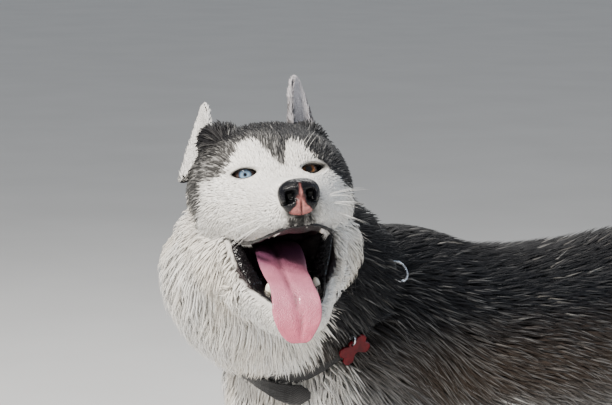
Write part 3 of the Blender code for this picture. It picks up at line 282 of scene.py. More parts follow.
# The tongue's groove: heights in the head's frame and how far to the side it runs there
TONGUE_LINE = ((-0.158, -0.145, -0.132, -0.118, -0.105, -0.092, -0.080), (-0.0085, -0.0068, -0.0070, -0.0090, -0.0120, -0.0135, -0.0120))
NOSE = (
    (0, -0.0920, -0.0320, 0.0120, 0.0100, 0.0120),
    (0, -0.0980, -0.0315, 0.0163, 0.0145, 0.0150),
    (0, -0.1050, -0.0312, 0.0184, 0.0160, 0.0165),
    (0, -0.1110, -0.0318, 0.0177, 0.0152, 0.0160),
    (0, -0.1155, -0.0325, 0.0142, 0.0118, 0.0130),
    (0, -0.1175, -0.0330, 0.0082, 0.0065, 0.0075),
)
# Teeth: place of the root, length and root radius; a row for each jaw, the same on both sides
UPPER_TEETH = (
    ((0.0040, -0.0925, -0.0530), 0.0045, 0.0019),
    ((0.0095, -0.0900, -0.0530), 0.0050, 0.0022),
    ((0.0165, -0.0820, -0.0475), 0.0060, 0.0026),
    ((0.0235, -0.0620, -0.0570), 0.0045, 0.0030),
    ((0.0290, -0.0400, -0.0580), 0.0055, 0.0046),
)
LOWER_TEETH = (
    ((0.0035, -0.0820, -0.0710), 0.0040, 0.0017),
    ((0.0085, -0.0790, -0.0710), 0.0050, 0.0019),
    ((0.0140, -0.0740, -0.0710), 0.0100, 0.0032),
    ((0.0175, -0.0580, -0.0700), 0.0045, 0.0028),
    ((0.0215, -0.0380, -0.0700), 0.0075, 0.0046),
)

# Distance between tufts: head, jaw, neck, trunk, tail and the four legs; then the face
SPACING = (0.0021, 0.0022, 0.0022, 0.0031, 0.0030, 0.0031, 0.0031, 0.0031, 0.0031)
FACE_SPACING = 0.0013
SOFTNESS = 1.2


def unit(vectors):
    """Vectors scaled to length one."""
    return vectors / np.maximum(np.linalg.norm(vectors, axis=-1, keepdims=True), 1e-9)


def smooth_rows(rows, steps):
    """Catmull-Rom curve through rows of sizes: each span is the cubic set by its four nearest rows."""
    rows = np.asarray(rows, float)
    padded = np.vstack([2 * rows[0] - rows[1], rows, 2 * rows[-1] - rows[-2]])
    t = np.linspace(0, len(rows) - 1, steps * (len(rows) - 1) + 1)
    i = np.minimum(t.astype(int), len(rows) - 2)
    f = (t - i)[:, None]
    a, b, c, d = (padded[i + k] for k in range(4))
    return b + 0.5 * f * (c - a + f * (2 * a - 5 * b + 4 * c - d + f * (3 * (b - c) + d - a)))


def section_frames(rows, hint):
    """Centre, and the across and up directions, of each section square to the path."""
    centre = rows[:, :3]
    along = unit(np.gradient(centre, axis=0))
    across = unit(hint - along * (along @ hint)[:, None])
    return centre, across, np.cross(across, along)


def rings(rows, around, hint=(1.0, 0.0, 0.0), square=2.0):
    """Superellipse rings: half width times cos to the power 2/square across, rise or drop times sin likewise up."""
    centre, across, up = section_frames(rows, np.array(hint))
    angle = np.arange(around) * 2 * math.pi / around
    wide = np.sign(np.cos(angle)) * np.abs(np.cos(angle)) ** (2 / square)
    high = np.sign(np.sin(angle)) * np.abs(np.sin(angle)) ** (2 / square)
    reach = np.where(high > 0, high * rows[:, 4:5], high * rows[:, 5:6])
    side = (wide * rows[:, 3:4])[..., None] * across[:, None]
    return centre[:, None] + side + reach[..., None] * up[:, None]


def moved(points, matrix):
    """Points taken through a 4 by 4 matrix."""
    m = np.array(matrix)
    return points @ m[:3, :3].T + m[:3, 3]


def to_local(points, matrix):
    """Points in the frame that a matrix stands for."""
    return moved(points, matrix.inverted())


def ring_faces(count, around):
    """Quads between neighbouring rings of points, and a fan to a pole at each end; poles are the last two points."""
    i, k = np.meshgrid(np.arange(count - 1), np.arange(around), indexing="ij")
    n = (k + 1) % around
    quads = np.stack([i * around + k, i * around + n, (i + 1) * around + n, (i + 1) * around + k], axis=-1)
    k = np.arange(around)
    n = (k + 1) % around
    first = np.stack([n, k, np.full(around, count * around)], axis=-1)
    last = (count - 1) * around
    final = np.stack([last + k, last + n, np.full(around, count * around + 1)], axis=-1)
    return quads.reshape(-1, 4), np.vstack([first, final])


def mesh_object(name, points, quads=None, triangles=None, smooth=True):
    """A new object from arrays of points, four-sided faces and three-sided faces."""
    mesh = bpy.data.meshes.new(name)
    parts = [faces for faces in (quads, triangles) if faces is not None and len(faces)]
    corners = np.concatenate([faces.ravel() for faces in parts]).astype(np.int32)
    sizes = np.concatenate([np.full(len(faces), faces.shape[1]) for faces in parts])
    starts = np.concatenate([[0], np.cumsum(sizes)[:-1]]).astype(np.int32)
    mesh.vertices.add(len(points))
    mesh.vertices.foreach_set("co", np.ascontiguousarray(points, np.float32).ravel())
    mesh.loops.add(len(corners))
    mesh.loops.foreach_set("vertex_index", corners)
    mesh.polygons.add(len(sizes))
    mesh.polygons.foreach_set("loop_start", starts)
    mesh.polygons.foreach_set("use_smooth", np.full(len(sizes), smooth))
    mesh.update(calc_edges=True)
    mesh.validate()
    made = bpy.data.objects.new(name, mesh)
    bpy.context.scene.collection.objects.link(made)
    return made


def loft_mesh(points):
    """Rings of points closed at both ends: all points, then quads and triangles that face outwards."""
    count, around = points.shape[:2]
    poles = np.stack([points[0].mean(axis=0), points[-1].mean(axis=0)])
    flat = np.vstack([points.reshape(-1, 3), poles])
    quads, fans = ring_faces(count, around)
    a, b, c = flat[quads[:, 0]], flat[quads[:, 1]], flat[quads[:, 2]]
    middle = points.mean(axis=1)[np.minimum(np.arange(len(quads)) // around, count - 1)]
    facing = np.einsum("ij,ij->i", np.cross(b - a, c - a), a - middle).sum()
    if facing < 0:
        quads, fans = quads[:, ::-1], fans[:, ::-1]
    return flat, quads, fans


def loft(name, points, matrix, smooth=True):
    """A closed object through rings of points."""
    flat, quads, fans = loft_mesh(points)
    return mesh_object(name, moved(flat, matrix), quads, fans, smooth)


def ellipsoid_rings(centre, half_sizes, around=20, count=14):
    """Rings of an ellipsoid from its back pole to its front pole along Y."""
    t = np.linspace(0.02, math.pi - 0.02, count)
    angle = np.arange(around) * 2 * math.pi / around
    x = np.outer(np.sin(t), np.cos(angle)) * half_sizes[0]
    z = np.outer(np.sin(t), np.sin(angle)) * half_sizes[2]
    y = np.outer(np.cos(t), np.ones(around)) * half_sizes[1]
    return np.stack([x, y, z], axis=-1) + np.array(centre)


def tube_rings(points, radii, around=8):
    """Rings of a round bar along points."""
    points = np.asarray(points, float)
    radii = np.asarray(radii, float)
    rows = np.column_stack([points, radii, radii, radii])
    return rings(rows, around, hint=(0.31, 0.22, 0.92))


def leg_rows(name):
    """Leg sections on one side, the stride growing towards the foot."""
    table = np.array(FORELEG if name.startswith("front") else HINDLEG, float)
    side = SIDES[name.split("_")[1]]
    top, foot = table[0, 1], table[-1, 1]
    reach = STRIDE[name] * ((top - table[:, 1]) / (top - foot)) ** 1.3
    return np.column_stack([side * table[:, 2], table[:, 0] - reach, table[:, 1], table[:, 3:6]])


def sunk(rows, depth):
    """Sections made smaller by a depth, but never under a third of their size."""
    rows = np.array(rows, float)
    depth = np.asarray(depth, float)
    if depth.ndim == 1:
        depth = depth[:, None]
    rows[:, 3:] = np.maximum(rows[:, 3:] - depth, 0.33 * rows[:, 3:])
    return rows


def skin_forms():
    """Rings of every form of flesh in the row frame: the coat's outer sections less the coat's depth."""
    forms = []
    face_depth = lambda rows: np.interp(np.array(rows)[:, 1], *FACE_DEPTH)
    skull = smooth_rows(sunk(SKULL, face_depth(SKULL)), 4)
    forms.append((rings(skull, 40, square=2.1), HEAD_AT))
    mandible = smooth_rows(sunk(MANDIBLE, 0.8 * face_depth(MANDIBLE)), 4)
    forms.append((rings(mandible, 32, square=2.2), JAW_AT))
    for name, ((x, y, z), sizes) in (("brow", BROW), ("cheek_bone", CHEEK_BONE), ("jowl", JOWL)):
        smaller = np.array(sizes) - MASS_DEPTH[name]
        for s in SIDES.values():
            forms.append((ellipsoid_rings((s * x, y, z), smaller), HEAD_AT))
    for centre, sizes in EAR_BASE.values():
        forms.append((ellipsoid_rings(centre, np.array(sizes) - MASS_DEPTH["ear_base"]), HEAD_AT))
    for s in SIDES.values():
        fold = smooth_rows(sunk(CHEEK_FOLD, np.full(7, 0.003)), 3) * (s, 1, 1, 1, 1, 1)
        forms.append((rings(fold, 14, hint=(0.0, 1.0, 0.0)), HEAD_AT))
    forms.append((rings(smooth_rows(sunk(NECK, NECK_DEPTH), 4), 36), PLACE))
    forms.append((rings(smooth_rows(sunk(TRUNK, TRUNK_DEPTH * len(TRUNK)), 4), 40, square=2.15), PLACE))
    forms.append((rings(smooth_rows(sunk(TAIL, TAIL_DEPTH), 4), 20), PLACE))
    for name in STRIDE:
        rows = leg_rows(name)
        forms.append((rings(smooth_rows(sunk(rows, LEG_DEPTH), 4), 24), PLACE))
        x, y = rows[-1][:2]
        forms.append((ellipsoid_rings((x, y - 0.004, 0.020), (0.0265, 0.0305, 0.0195), 18, 12), PLACE))
        for aside, ahead in TOES:
            forms.append((ellipsoid_rings((x + aside, y - 0.030 + ahead, 0.0140), TOE_SIZE, 14, 10), PLACE))
    return forms


def solid_from(name, forms):
    """One object from many closed lofts, still overlapping each other."""
    points, quads, fans, start = [], [], [], 0
    for ring_points, matrix in forms:
        flat, four, three = loft_mesh(ring_points)
        points.append(moved(flat, matrix))
        quads.append(four + start)
        fans.append(three + start)
        start += len(flat)
    return mesh_object(name, np.vstack(points), np.vstack(quads), np.vstack(fans))


def with_modifier(obj, kind, **settings):
    """The object's mesh after one modifier, which is applied."""
    modifier = obj.modifiers.new("step", kind)
    for key, value in settings.items():
        setattr(modifier, key, value)
    graph = bpy.context.evaluated_depsgraph_get()
    made = bpy.data.meshes.new_from_object(obj.evaluated_get(graph), depsgraph=graph)
    obj.modifiers.clear()
    old = obj.data
    obj.data = made
    bpy.data.meshes.remove(old)
    return obj


def cut(obj, cutters):
    """Takes closed cutters out of an object and removes them."""
    for cutter in cutters:
        with_modifier(obj, "BOOLEAN", operation="DIFFERENCE", object=cutter, solver="MANIFOLD")
        bpy.data.objects.remove(cutter)
    return obj


def eye_frame(side):
    """Where an eye sits, its own -Y along the gaze."""
    turn = Matrix.Rotation(SIDES[side] * EYE_OUTWARD, 4, "Z")
    return HEAD_AT @ Matrix.Translation(EYES[side]) @ turn @ Matrix.Translation((0.0, EYE_BACK, 0.0))


def almond(count, grow=0.0):
    """The opening of the lids in the eye's frame: x and z, the inner corner drawn low and sharp."""
    angle = np.arange(count) * 2 * math.pi / count
    c, s = np.cos(angle), np.sin(angle)
    x = (EYE_OPENING[0] + grow) * np.sign(c) * np.abs(c) ** 1.15
    z = (EYE_OPENING[1] + grow) * np.sign(s) * np.abs(s) ** 1.25
    return x, z


def eye_cutter(side, grow=0.0):
    """A prism along the gaze in the shape of the open lids."""
    x, z = almond(24, grow)
    depth = (-0.030, -0.014, -0.002)
    flare = (1.9, 1.06, 0.96)
    points = np.stack([np.column_stack([x * f, np.full(24, y), z * f]) for y, f in zip(depth, flare)])
    return loft("eye_cutter", points, eye_frame(side))


def body_skin():
    """The whole skin in one piece: the forms fused by a voxel remesh, smoothed, its mouth and eyes opened."""
    skin = solid_from("skin", skin_forms())
    with_modifier(skin, "REMESH", mode="VOXEL", voxel_size=SKIN_GRAIN, use_smooth_shade=True)
    with_modifier(skin, "SMOOTH", factor=0.5, iterations=5)
    mouth = [
        loft("palate_cut", rings(smooth_rows(PALATE, 3), 20), HEAD_AT),
        loft("gape_cut", rings(smooth_rows(GAPE, 3), 24, square=2.4), HEAD_AT),
        loft("floor_cut", rings(smooth_rows(JAW_FLOOR, 3), 20), JAW_AT),
    ]
    cut(skin, mouth + [eye_cutter(side) for side in SIDES])
    skin.data.polygons.foreach_set("use_smooth", np.ones(len(skin.data.polygons), bool))
    return skin


def array_of(collection, name, width):
    """One property of every item of a mesh collection as an array."""
    values = np.empty(len(collection) * width, np.float32)
    collection.foreach_get(name, values)
    return values.reshape(-1, width) if width > 1 else values


def on_skin(skin, points):
    """The nearest places on the skin and the smooth outward directions there, by two shrinkwraps of a point mesh."""
    mesh = bpy.data.meshes.new("probe")
    mesh.vertices.add(len(points))
    mesh.vertices.foreach_set("co", np.ascontiguousarray(points, np.float32).ravel())
    probe = bpy.data.objects.new("probe", mesh)
    bpy.context.scene.collection.objects.link(probe)
    found = []
    for offset in (0.0, 0.01):
        wrap = probe.modifiers.new("wrap", "SHRINKWRAP")
        wrap.target = skin
        wrap.wrap_method = "NEAREST_SURFACEPOINT"
        wrap.wrap_mode = "ABOVE_SURFACE"
        wrap.offset = offset
        graph = bpy.context.evaluated_depsgraph_get()
        held = probe.evaluated_get(graph)
        found.append(array_of(held.to_mesh().vertices, "co", 3).astype(float))
        held.to_mesh_clear()
        probe.modifiers.clear()
    bpy.data.objects.remove(probe)
    bpy.data.meshes.remove(mesh)
    return found[0], unit(found[1] - found[0])


def noise(points, scale, seed=0):
    """Smooth noise from -1 to 1: hashed numbers on a lattice of the given spacing, blended by a smooth step."""
    place = points / scale + seed * 13.7
    cell = np.floor(place).astype(np.int64)
    f = place - cell
    f = f * f * (3 - 2 * f)
    total = np.zeros(len(points))
    for corner in np.ndindex(2, 2, 2):
        i, j, k = (cell[:, a] + corner[a] for a in range(3))
        mix = (i * 73856093) ^ (j * 19349663) ^ (k * 83492791) ^ (seed * 265443)
        mix = (mix * 1103515245 + 12345) & 0x7FFFFFFF
        mix = (mix ^ (mix >> 13)) * 1274126177 & 0x7FFFFFFF
        weight = np.prod([f[:, a] if corner[a] else 1 - f[:, a] for a in range(3)], axis=0)
        total += weight * (mix / 0x3FFFFFFF - 1)
    return total


def step(low, high, values):
    """A smooth step from 0 at low to 1 at high."""
    t = np.clip((values - low) / (high - low), 0.0, 1.0)
    return t * t * (3 - 2 * t)


def blend(a, b, weight):
    """Two arrays of colours mixed by a weight for each point."""
    return a + (b - a) * np.asarray(weight)[:, None]


def regions(points):
    """The form each point lies on (an index into REGIONS), its place along that form and the angle round it."""
    best = np.full(len(points), 1e9)
    label = np.zeros(len(points), int)
    along = np.zeros(len(points))
    turn = np.zeros(len(points))
    for index, (rows, matrix) in enumerate(region_paths()):
        local = to_local(points, matrix)
        centre, across, up = section_frames(rows, np.array((1.0, 0.0, 0.0)))
        size = rows[:, 3:].mean(axis=1)
        gap = np.linalg.norm(local[:, None] - centre[None], axis=2)
        nearest = (gap / size[None]).argmin(axis=1)
        reach = gap[np.arange(len(points)), nearest] / size[nearest]
        offset = local - centre[nearest]
        better = reach < best
        best[better] = reach[better]
        label[better] = index
        along[better] = (nearest / (len(rows) - 1))[better]
        angle = np.arctan2((offset * up[nearest]).sum(axis=1), (offset * across[nearest]).sum(axis=1))
        turn[better] = angle[better]
    return label, along, turn


REGIONS = ("head", "jaw", "neck", "trunk", "tail", *STRIDE)


def region_paths():
    """Fine sections of each region's form, and the frame that they are in."""
    paths = [(SKULL, HEAD_AT), (MANDIBLE, JAW_AT), (NECK, PLACE), (TRUNK, PLACE), (TAIL, PLACE)]
    paths += [(leg_rows(name), PLACE) for name in STRIDE]
    return [(smooth_rows(rows, 3), matrix) for rows, matrix in paths]


# Coat colours in linear light
WHITE = np.array((0.86, 0.845, 0.815))
CREAM = np.array((0.72, 0.65, 0.54))
GREY = np.array((0.30, 0.295, 0.285))
# Blue-black for the head's left side: a painted shade, its dark coat as it looks in blue shade
PAINTED_SHADE_SLATE = np.array((0.042, 0.043, 0.050))
BLACK = np.array((0.0075, 0.0075, 0.0090))
BROWN = np.array((0.150, 0.105, 0.075))

# The cap's lower edge across the face: x against y + 1.1 z in the head's frame
CAP_X = (-0.080, -0.075, -0.065, -0.055, -0.045, -0.035, -0.025, -0.017, -0.012, -0.003, 0.003)
CAP_X += (0.009, 0.015, 0.022, 0.030, 0.040, 0.050, 0.060, 0.070, 0.084)
CAP_F = (0.014, 0.010, -0.006, -0.014, 0.002, 0.018, 0.029, 0.024, 0.004, -0.026, -0.034)
CAP_F += (0.004, 0.012, 0.010, -0.003, -0.020, -0.035, -0.036, -0.030, -0.012)
# The dark of the neck's side: height against how far back it starts, in the head's frame
SIDE_Z = (-0.095, -0.080, -0.060, -0.030, 0.000, 0.020)
SIDE_Y = (0.110, 0.074, 0.056, 0.020, 0.002, -0.008)


def head_marks(local):
    """How dark the head is: over the cap's edge on the face, and behind the cheeks at the sides."""
    x, y, z = local.T
    wobble = 0.0035 * noise(local, 0.010, 3) + 0.0015 * noise(local, 0.004, 4)
    cap = step(-0.008, 0.009, y + 1.1 * z - np.interp(x, CAP_X, CAP_F) + wobble)
    side = step(-0.008, 0.010, y - np.interp(z, SIDE_Z, SIDE_Y) + 2 * wobble)
    side = side * step(0.046, 0.056, np.abs(x))
    back = step(0.045, 0.060, y) * step(-0.100, -0.070, z)
    return np.maximum(np.maximum(cap, side), back)


def coat_colours(points, label, sharp=None):
    """Root and tip colours of the coat at each point; a random number for each tuft lets it fall on one side."""
    count = len(points)
    body = points - SHIFT
    local = to_local(points, HEAD_AT)
    x, y, z = body.T
    on_head = label <= 1
    grain = noise(points, 0.0025, 11)
    patch = noise(points, 0.030, 12)

    dark = np.zeros(count)
    dark[on_head] = head_marks(local[on_head])
    # Painted shade: the head's left side is painted blue-black, as the dark coat looks in shade there
    head_left_painted_shade = step(-0.012, 0.012, local[:, 0])
    tone = blend(np.tile(GREY * 0.22, (count, 1)), PAINTED_SHADE_SLATE[None] * 0.35, head_left_painted_shade)
    crown = step(0.008, 0.038, local[:, 2] + 0.25 * local[:, 1] - 0.010)
    tone = blend(tone, BLACK[None] * 1.1, 0.97 * crown)

    # The neck: white below and in front, dark on its crest and its left side
    face_gap = np.linalg.norm(local - (0.010, 0.020, -0.060), axis=1)
    left_edge = np.interp(z, (0.36, 0.44, 0.50, 0.56, 0.62), (-0.175, -0.150, -0.165, -0.190, -0.215))
    ragged = 0.010 * noise(points, 0.022, 5) + 0.004 * noise(points, 0.007, 6)
    behind = step(-0.016, 0.018, y - left_edge + ragged)
    right = step(0.000, -0.060, x)
    crest = step(-0.010, 0.030, z - 0.585 + 0.35 * (y + 0.19) + ragged)
    neck_dark = np.maximum(behind * (1 - right), crest)
    neck_dark = np.maximum(neck_dark, right * step(-0.150, -0.100, y + ragged) * step(0.42, 0.47, z))
    neck_dark *= step(0.075, 0.105, face_gap + ragged)
    on_neck = label == 2
    dark[on_neck] = neck_dark[on_neck]

    # The trunk: white chest and belly, dark above, brownish flanks
    chest = step(0.030, -0.020, y + 0.10 + 0.9 * (z - 0.42) + ragged) * step(0.47, 0.44, z)
    low = step(0.018, -0.022, z - 0.362 - 0.030 * np.cos(9 * y) + ragged)
    trunk_dark = 1 - np.maximum(chest, low)
    on_trunk = label == 3
    dark[on_trunk] = trunk_dark[on_trunk]
    on_tail = label == 4
    under = step(0.012, -0.022, (y - np.interp(z, (0.48, 0.60, 0.70, 0.80), (0.42, 0.50, 0.48, 0.40))) + ragged)
    tip = step(0.455, 0.420, y) * step(0.70, 0.72, z)
    dark[on_tail] = (1 - np.maximum(0.9 * under, tip))[on_tail]
    on_leg = label >= 5
    hind = step(0.1, 0.2, y)
    outer = step(0.055, 0.100, np.abs(x))
    edge = 0.375 - hind * (0.075 * outer + 0.10 * step(0.30, 0.42, y))
    leg_dark = step(-0.028, 0.034, z - edge + 1.6 * ragged)
    dark[on_leg] = leg_dark[on_leg]

    body_tone = blend(np.tile(BLACK * 1.3, (count, 1)), (BROWN * 0.62)[None], step(0.50, 0.42, z) * 0.75)
    body_tone = blend(body_tone, GREY[None], 0.5 * step(0.42, 0.36, z))
    shoulder = np.exp(-(((y + 0.115) / 0.05) ** 2 + ((z - 0.375) / 0.055) ** 2))
    body_tone = blend(body_tone, (GREY * 1.5)[None], np.clip(1.2 * shoulder, 0, 1))
    tone = np.where(on_head[:, None], tone, body_tone)

    if sharp is not None:
        dark = step(0.30, 0.70, dark + 0.42 * sharp)
    light = blend(np.tile(WHITE, (count, 1)), CREAM[None], np.clip(0.28 + 0.5 * patch, 0, 0.7))
    light = np.where(on_head[:, None], blend(np.tile(WHITE, (count, 1)), CREAM[None], 0.12 + 0.1 * patch), light)
    root = blend(light, tone, dark)
    hx, hy, hz = local.T
    smudge = np.exp(-(((np.abs(hx) - 0.0060) / 0.0090) ** 4 + ((hz + 0.0480) / 0.0105) ** 4))
    line = np.exp(-((hx / 0.0019) ** 2)) * step(-0.040, -0.044, hz)
    lip_edge = np.clip((1.0 + 0.5 * grain) * smudge + 0.95 * line, 0, 1) * on_head * step(-0.078, -0.088, hy)
    root = blend(root, (GREY * 0.12)[None], lip_edge)
    # Painted shade also takes most of the light specks off the head's left side
    salt = np.where(on_head, 0.62 * (1 - 0.85 * head_left_painted_shade), 0.32 * step(0.56, 0.38, z))
    salt = salt * (1 - 0.92 * on_head * crown)
    lot = grain if sharp is None else 0.6 * grain + 0.6 * sharp
    speck = step(0.10, 0.5, lot) * salt * dark
    root = blend(root, (GREY * 1.1)[None], 0.5 * speck)
    tip = blend(root, (GREY * 2.0)[None], speck)
    black_tip = step(0.2, 0.7, -grain) * dark
    tip = blend(tip, (BLACK * 0.9)[None], 0.6 * black_tip)
    return root * (1 - 0.25 * dark)[:, None], tip


# How the coat lies, in the head's frame: place, direction, spread, hair length, depth and width; both sides
HEAD_GUIDES = (
    ((0.000, -0.085, -0.012), (0.00, 1.00, 0.15), 0.022, 0.0070, 0.0024, 0.0013),
    ((0.028, -0.075, -0.040), (0.25, 1.00, -0.15), 0.020, 0.0080, 0.0026, 0.0013),
    ((0.030, -0.060, -0.060), (0.10, 0.80, -0.50), 0.016, 0.0080, 0.0026, 0.0013),
    ((0.012, -0.104, -0.050), (0.50, 0.30, -0.80), 0.012, 0.0055, 0.0020, 0.0011),
    ((0.000, -0.030, 0.005), (0.00, 0.60, 0.80), 0.018, 0.0090, 0.0034, 0.0013),
    ((0.000, 0.000, 0.040), (0.00, 0.90, 0.50), 0.022, 0.0130, 0.0055, 0.0016),
    ((0.000, 0.060, 0.052), (0.00, 1.00, -0.10), 0.030, 0.0200, 0.0085, 0.0017),
    ((0.030, -0.010, 0.022), (0.30, 0.40, 0.80), 0.014, 0.0100, 0.0045, 0.0014),
    ((0.062, 0.010, 0.005), (0.30, 0.90, 0.10), 0.022, 0.0160, 0.0070, 0.0018),
    ((0.035, -0.020, -0.022), (0.30, 0.90, -0.25), 0.014, 0.0100, 0.0036, 0.0014),
    ((0.070, 0.030, -0.030), (0.30, 0.85, -0.45), 0.026, 0.0300, 0.0130, 0.0018),
    ((0.060, 0.030, -0.080), (0.20, 0.70, -0.70), 0.026, 0.0340, 0.0150, 0.0018),
    ((0.030, -0.040, -0.105), (0.10, 0.90, -0.40), 0.020, 0.0140, 0.0050, 0.0016),
    ((0.000, -0.062, -0.128), (0.00, 0.80, -0.60), 0.018, 0.0090, 0.0030, 0.0014),
    ((0.000, 0.000, -0.135), (0.00, 0.85, -0.50), 0.030, 0.0350, 0.0160, 0.0019),
    ((0.030, 0.110, 0.010), (0.00, 0.90, -0.40), 0.030, 0.0350, 0.0160, 0.0020),
)
# The same in the animal's frame, first what is on one side or the middle only, then what is on both sides
NECK_GUIDES = (
    ((0.050, -0.160, 0.630), (-0.50, 0.75, -0.35), 0.050, 0.045, 0.030, 0.0021),
    ((0.120, -0.130, 0.530), (-0.40, 0.60, -0.60), 0.050, 0.048, 0.033, 0.0021),
    ((-0.030, -0.240, 0.550), (-0.35, 0.35, -0.85), 0.050, 0.055, 0.033, 0.0019),
    ((0.080, -0.280, 0.500), (-0.35, 0.15, -0.90), 0.045, 0.058, 0.034, 0.0019),
    ((0.000, -0.190, 0.420), (0.00, 0.10, -1.00), 0.055, 0.050, 0.020, 0.0023),
    ((0.000, -0.120, 0.320), (0.00, 0.70, -0.60), 0.050, 0.035, 0.016, 0.0024),
    ((0.000, 0.000, 0.565), (0.00, 1.00, -0.05), 0.070, 0.045, 0.019, 0.0034),
    ((0.000, 0.150, 0.540), (0.00, 1.00, -0.05), 0.070, 0.045, 0.019, 0.0034),
    ((0.000, 0.320, 0.530), (0.00, 1.00, -0.10), 0.070, 0.045, 0.019, 0.0034),
    ((0.000, 0.150, 0.300), (0.00, 1.00, -0.10), 0.070, 0.026, 0.013, 0.0030),
)
BODY_GUIDES = (
    ((0.100, -0.060, 0.450), (0.00, 0.60, -0.75), 0.060, 0.036, 0.018, 0.0021),
    ((0.115, 0.120, 0.450), (0.00, 0.95, -0.30), 0.080, 0.034, 0.017, 0.0021),
    ((0.100, 0.120, 0.360), (0.00, 0.85, -0.50), 0.060, 0.034, 0.016, 0.0023),
    ((0.120, 0.310, 0.400), (0.00, 0.45, -0.90), 0.060, 0.034, 0.013, 0.0024),
    ((0.070, 0.420, 0.420), (0.00, 0.25, -1.00), 0.050, 0.050, 0.018, 0.0030),
    ((0.070, 0.400, 0.300), (0.00, 0.15, -1.00), 0.050, 0.036, 0.010, 0.0028),
    ((0.100, -0.060, 0.350), (0.00, 0.20, -1.00), 0.050, 0.024, 0.011, 0.0026),
    ((0.085, -0.030, 0.150), (0.00, 0.05, -1.00), 0.090, 0.011, 0.0048, 0.0020),
    ((0.085, 0.360, 0.230), (0.00, 0.10, -1.00), 0.060, 0.017, 0.0070, 0.0022),
    ((0.077, 0.400, 0.120), (0.00, 0.00, -1.00), 0.050, 0.011, 0.0048, 0.0020),
    ((0.083, -0.090, 0.030), (0.00, -0.80, -0.50), 0.040, 0.0080, 0.0026, 0.0017),
    ((0.079, 0.350, 0.030), (0.00, -0.80, -0.50), 0.040, 0.0080, 0.0026, 0.0017),
)
TAIL_HAIR = (0.066, 0.040, 0.0030)


def guide_table():
    """Every guide in the object's frame: places, directions, spreads and sizes as arrays."""
    rows = []
    for side in SIDES.values():
        turn = np.array(HEAD_AT.to_3x3())
        for place, lie, spread, *sizes in HEAD_GUIDES:
            flipped = np.array(place) * (side, 1, 1)
            rows.append((moved(flipped[None], HEAD_AT)[0], turn @ (np.array(lie) * (side, 1, 1)), spread, sizes))
        for place, lie, spread, *sizes in BODY_GUIDES:
            rows.append((np.array(place) * (side, 1, 1) + SHIFT, np.array(lie) * (side, 1, 1), spread, sizes))
    for place, lie, spread, *sizes in NECK_GUIDES:
        rows.append((np.array(place) + SHIFT, np.array(lie), spread, sizes))
    tail = smooth_rows(TAIL, 2)
    lies = unit(np.gradient(tail[:, :3], axis=0))
    for row, lie in zip(tail[2:], lies[2:]):
        rows.append((row[:3] + SHIFT, lie, 0.055, TAIL_HAIR))
    return tuple(np.array(column, float) for column in zip(*rows))


def styled(points, normals):
    """Direction and sizes of the hair at each point: the guides' mean, weighted by nearness, laid on the skin."""
    places, lies, spreads, sizes = guide_table()
    gap = ((points[:, None] - places[None]) ** 2).sum(axis=2)
    weight = np.exp(-gap / spreads[None] ** 2) + 1e-12 / (gap + 1e-4)
    weight /= weight.sum(axis=1, keepdims=True)
    lie = weight @ unit(lies)
    swirl = np.stack([noise(points, 0.016, k) for k in (21, 22, 23)], axis=1)
    lie = lie + 0.22 * swirl
    lie = unit(lie - normals * (lie * normals).sum(axis=1, keepdims=True))
    return lie, weight @ sizes


def strewn(skin, spacing_of, random):
    """Even random places on the skin with smooth normals: each triangle gets area over spacing squared."""
    mesh = skin.data
    mesh.calc_loop_triangles()
    corners = np.empty(len(mesh.loop_triangles) * 3, np.int32)
    mesh.loop_triangles.foreach_get("vertices", corners)
    corners = corners.reshape(-1, 3)
    points = array_of(mesh.vertices, "co", 3).astype(float)
    normals = array_of(mesh.vertex_normals, "vector", 3).astype(float)
    a, b, c = (points[corners[:, k]] for k in range(3))
    area = np.linalg.norm(np.cross(b - a, c - a), axis=1) / 2
    middle = (a + b + c) / 3
    share = area / spacing_of(middle) ** 2
    whole = np.floor(share + random.random(len(share))).astype(int)
    picked = np.repeat(np.arange(len(share)), whole)
    u, v = random.random((2, len(picked)))
    fold = u + v > 1
    u, v = np.where(fold, 1 - u, u), np.where(fold, 1 - v, v)
    mix = np.stack([1 - u - v, u, v], axis=1)[..., None]
    place = (points[corners[picked]] * mix).sum(axis=1)
    return place, unit((normals[corners[picked]] * mix).sum(axis=1))


def inside_loft(points, rows, matrix, grow, square=2.0):
    """Whether each point lies inside a loft made larger by a length: its place in the nearest section's oval."""
    local = to_local(points, matrix)
    fine = smooth_rows(rows, 4)
    centre, across, up = section_frames(fine, np.array((1.0, 0.0, 0.0)))
    along = unit(np.gradient(centre, axis=0))
    offset = local[:, None] - centre[None]
    ahead = np.abs(np.einsum("pkj,kj->pk", offset, along))
    nearest = ahead.argmin(axis=1)
    pick = np.arange(len(points))
    offset = offset[pick, nearest]
    wide = (offset * across[nearest]).sum(axis=1) / (fine[nearest, 3] + grow)
    high = (offset * up[nearest]).sum(axis=1)
    high = high / (np.where(high > 0, fine[nearest, 4], fine[nearest, 5]) + grow)
    reach = np.abs(wide) ** square + np.abs(high) ** square
    return (reach < 1) & (ahead[pick, nearest] < 0.004 + grow)


def in_mouth(points, grow=0.0):
    """Whether points lie in the opened mouth, made larger by a length."""
    palate = inside_loft(points, PALATE, HEAD_AT, grow)
    gape = inside_loft(points, GAPE, HEAD_AT, grow, 2.4)
    return palate | gape | inside_loft(points, JAW_FLOOR, JAW_AT, grow)


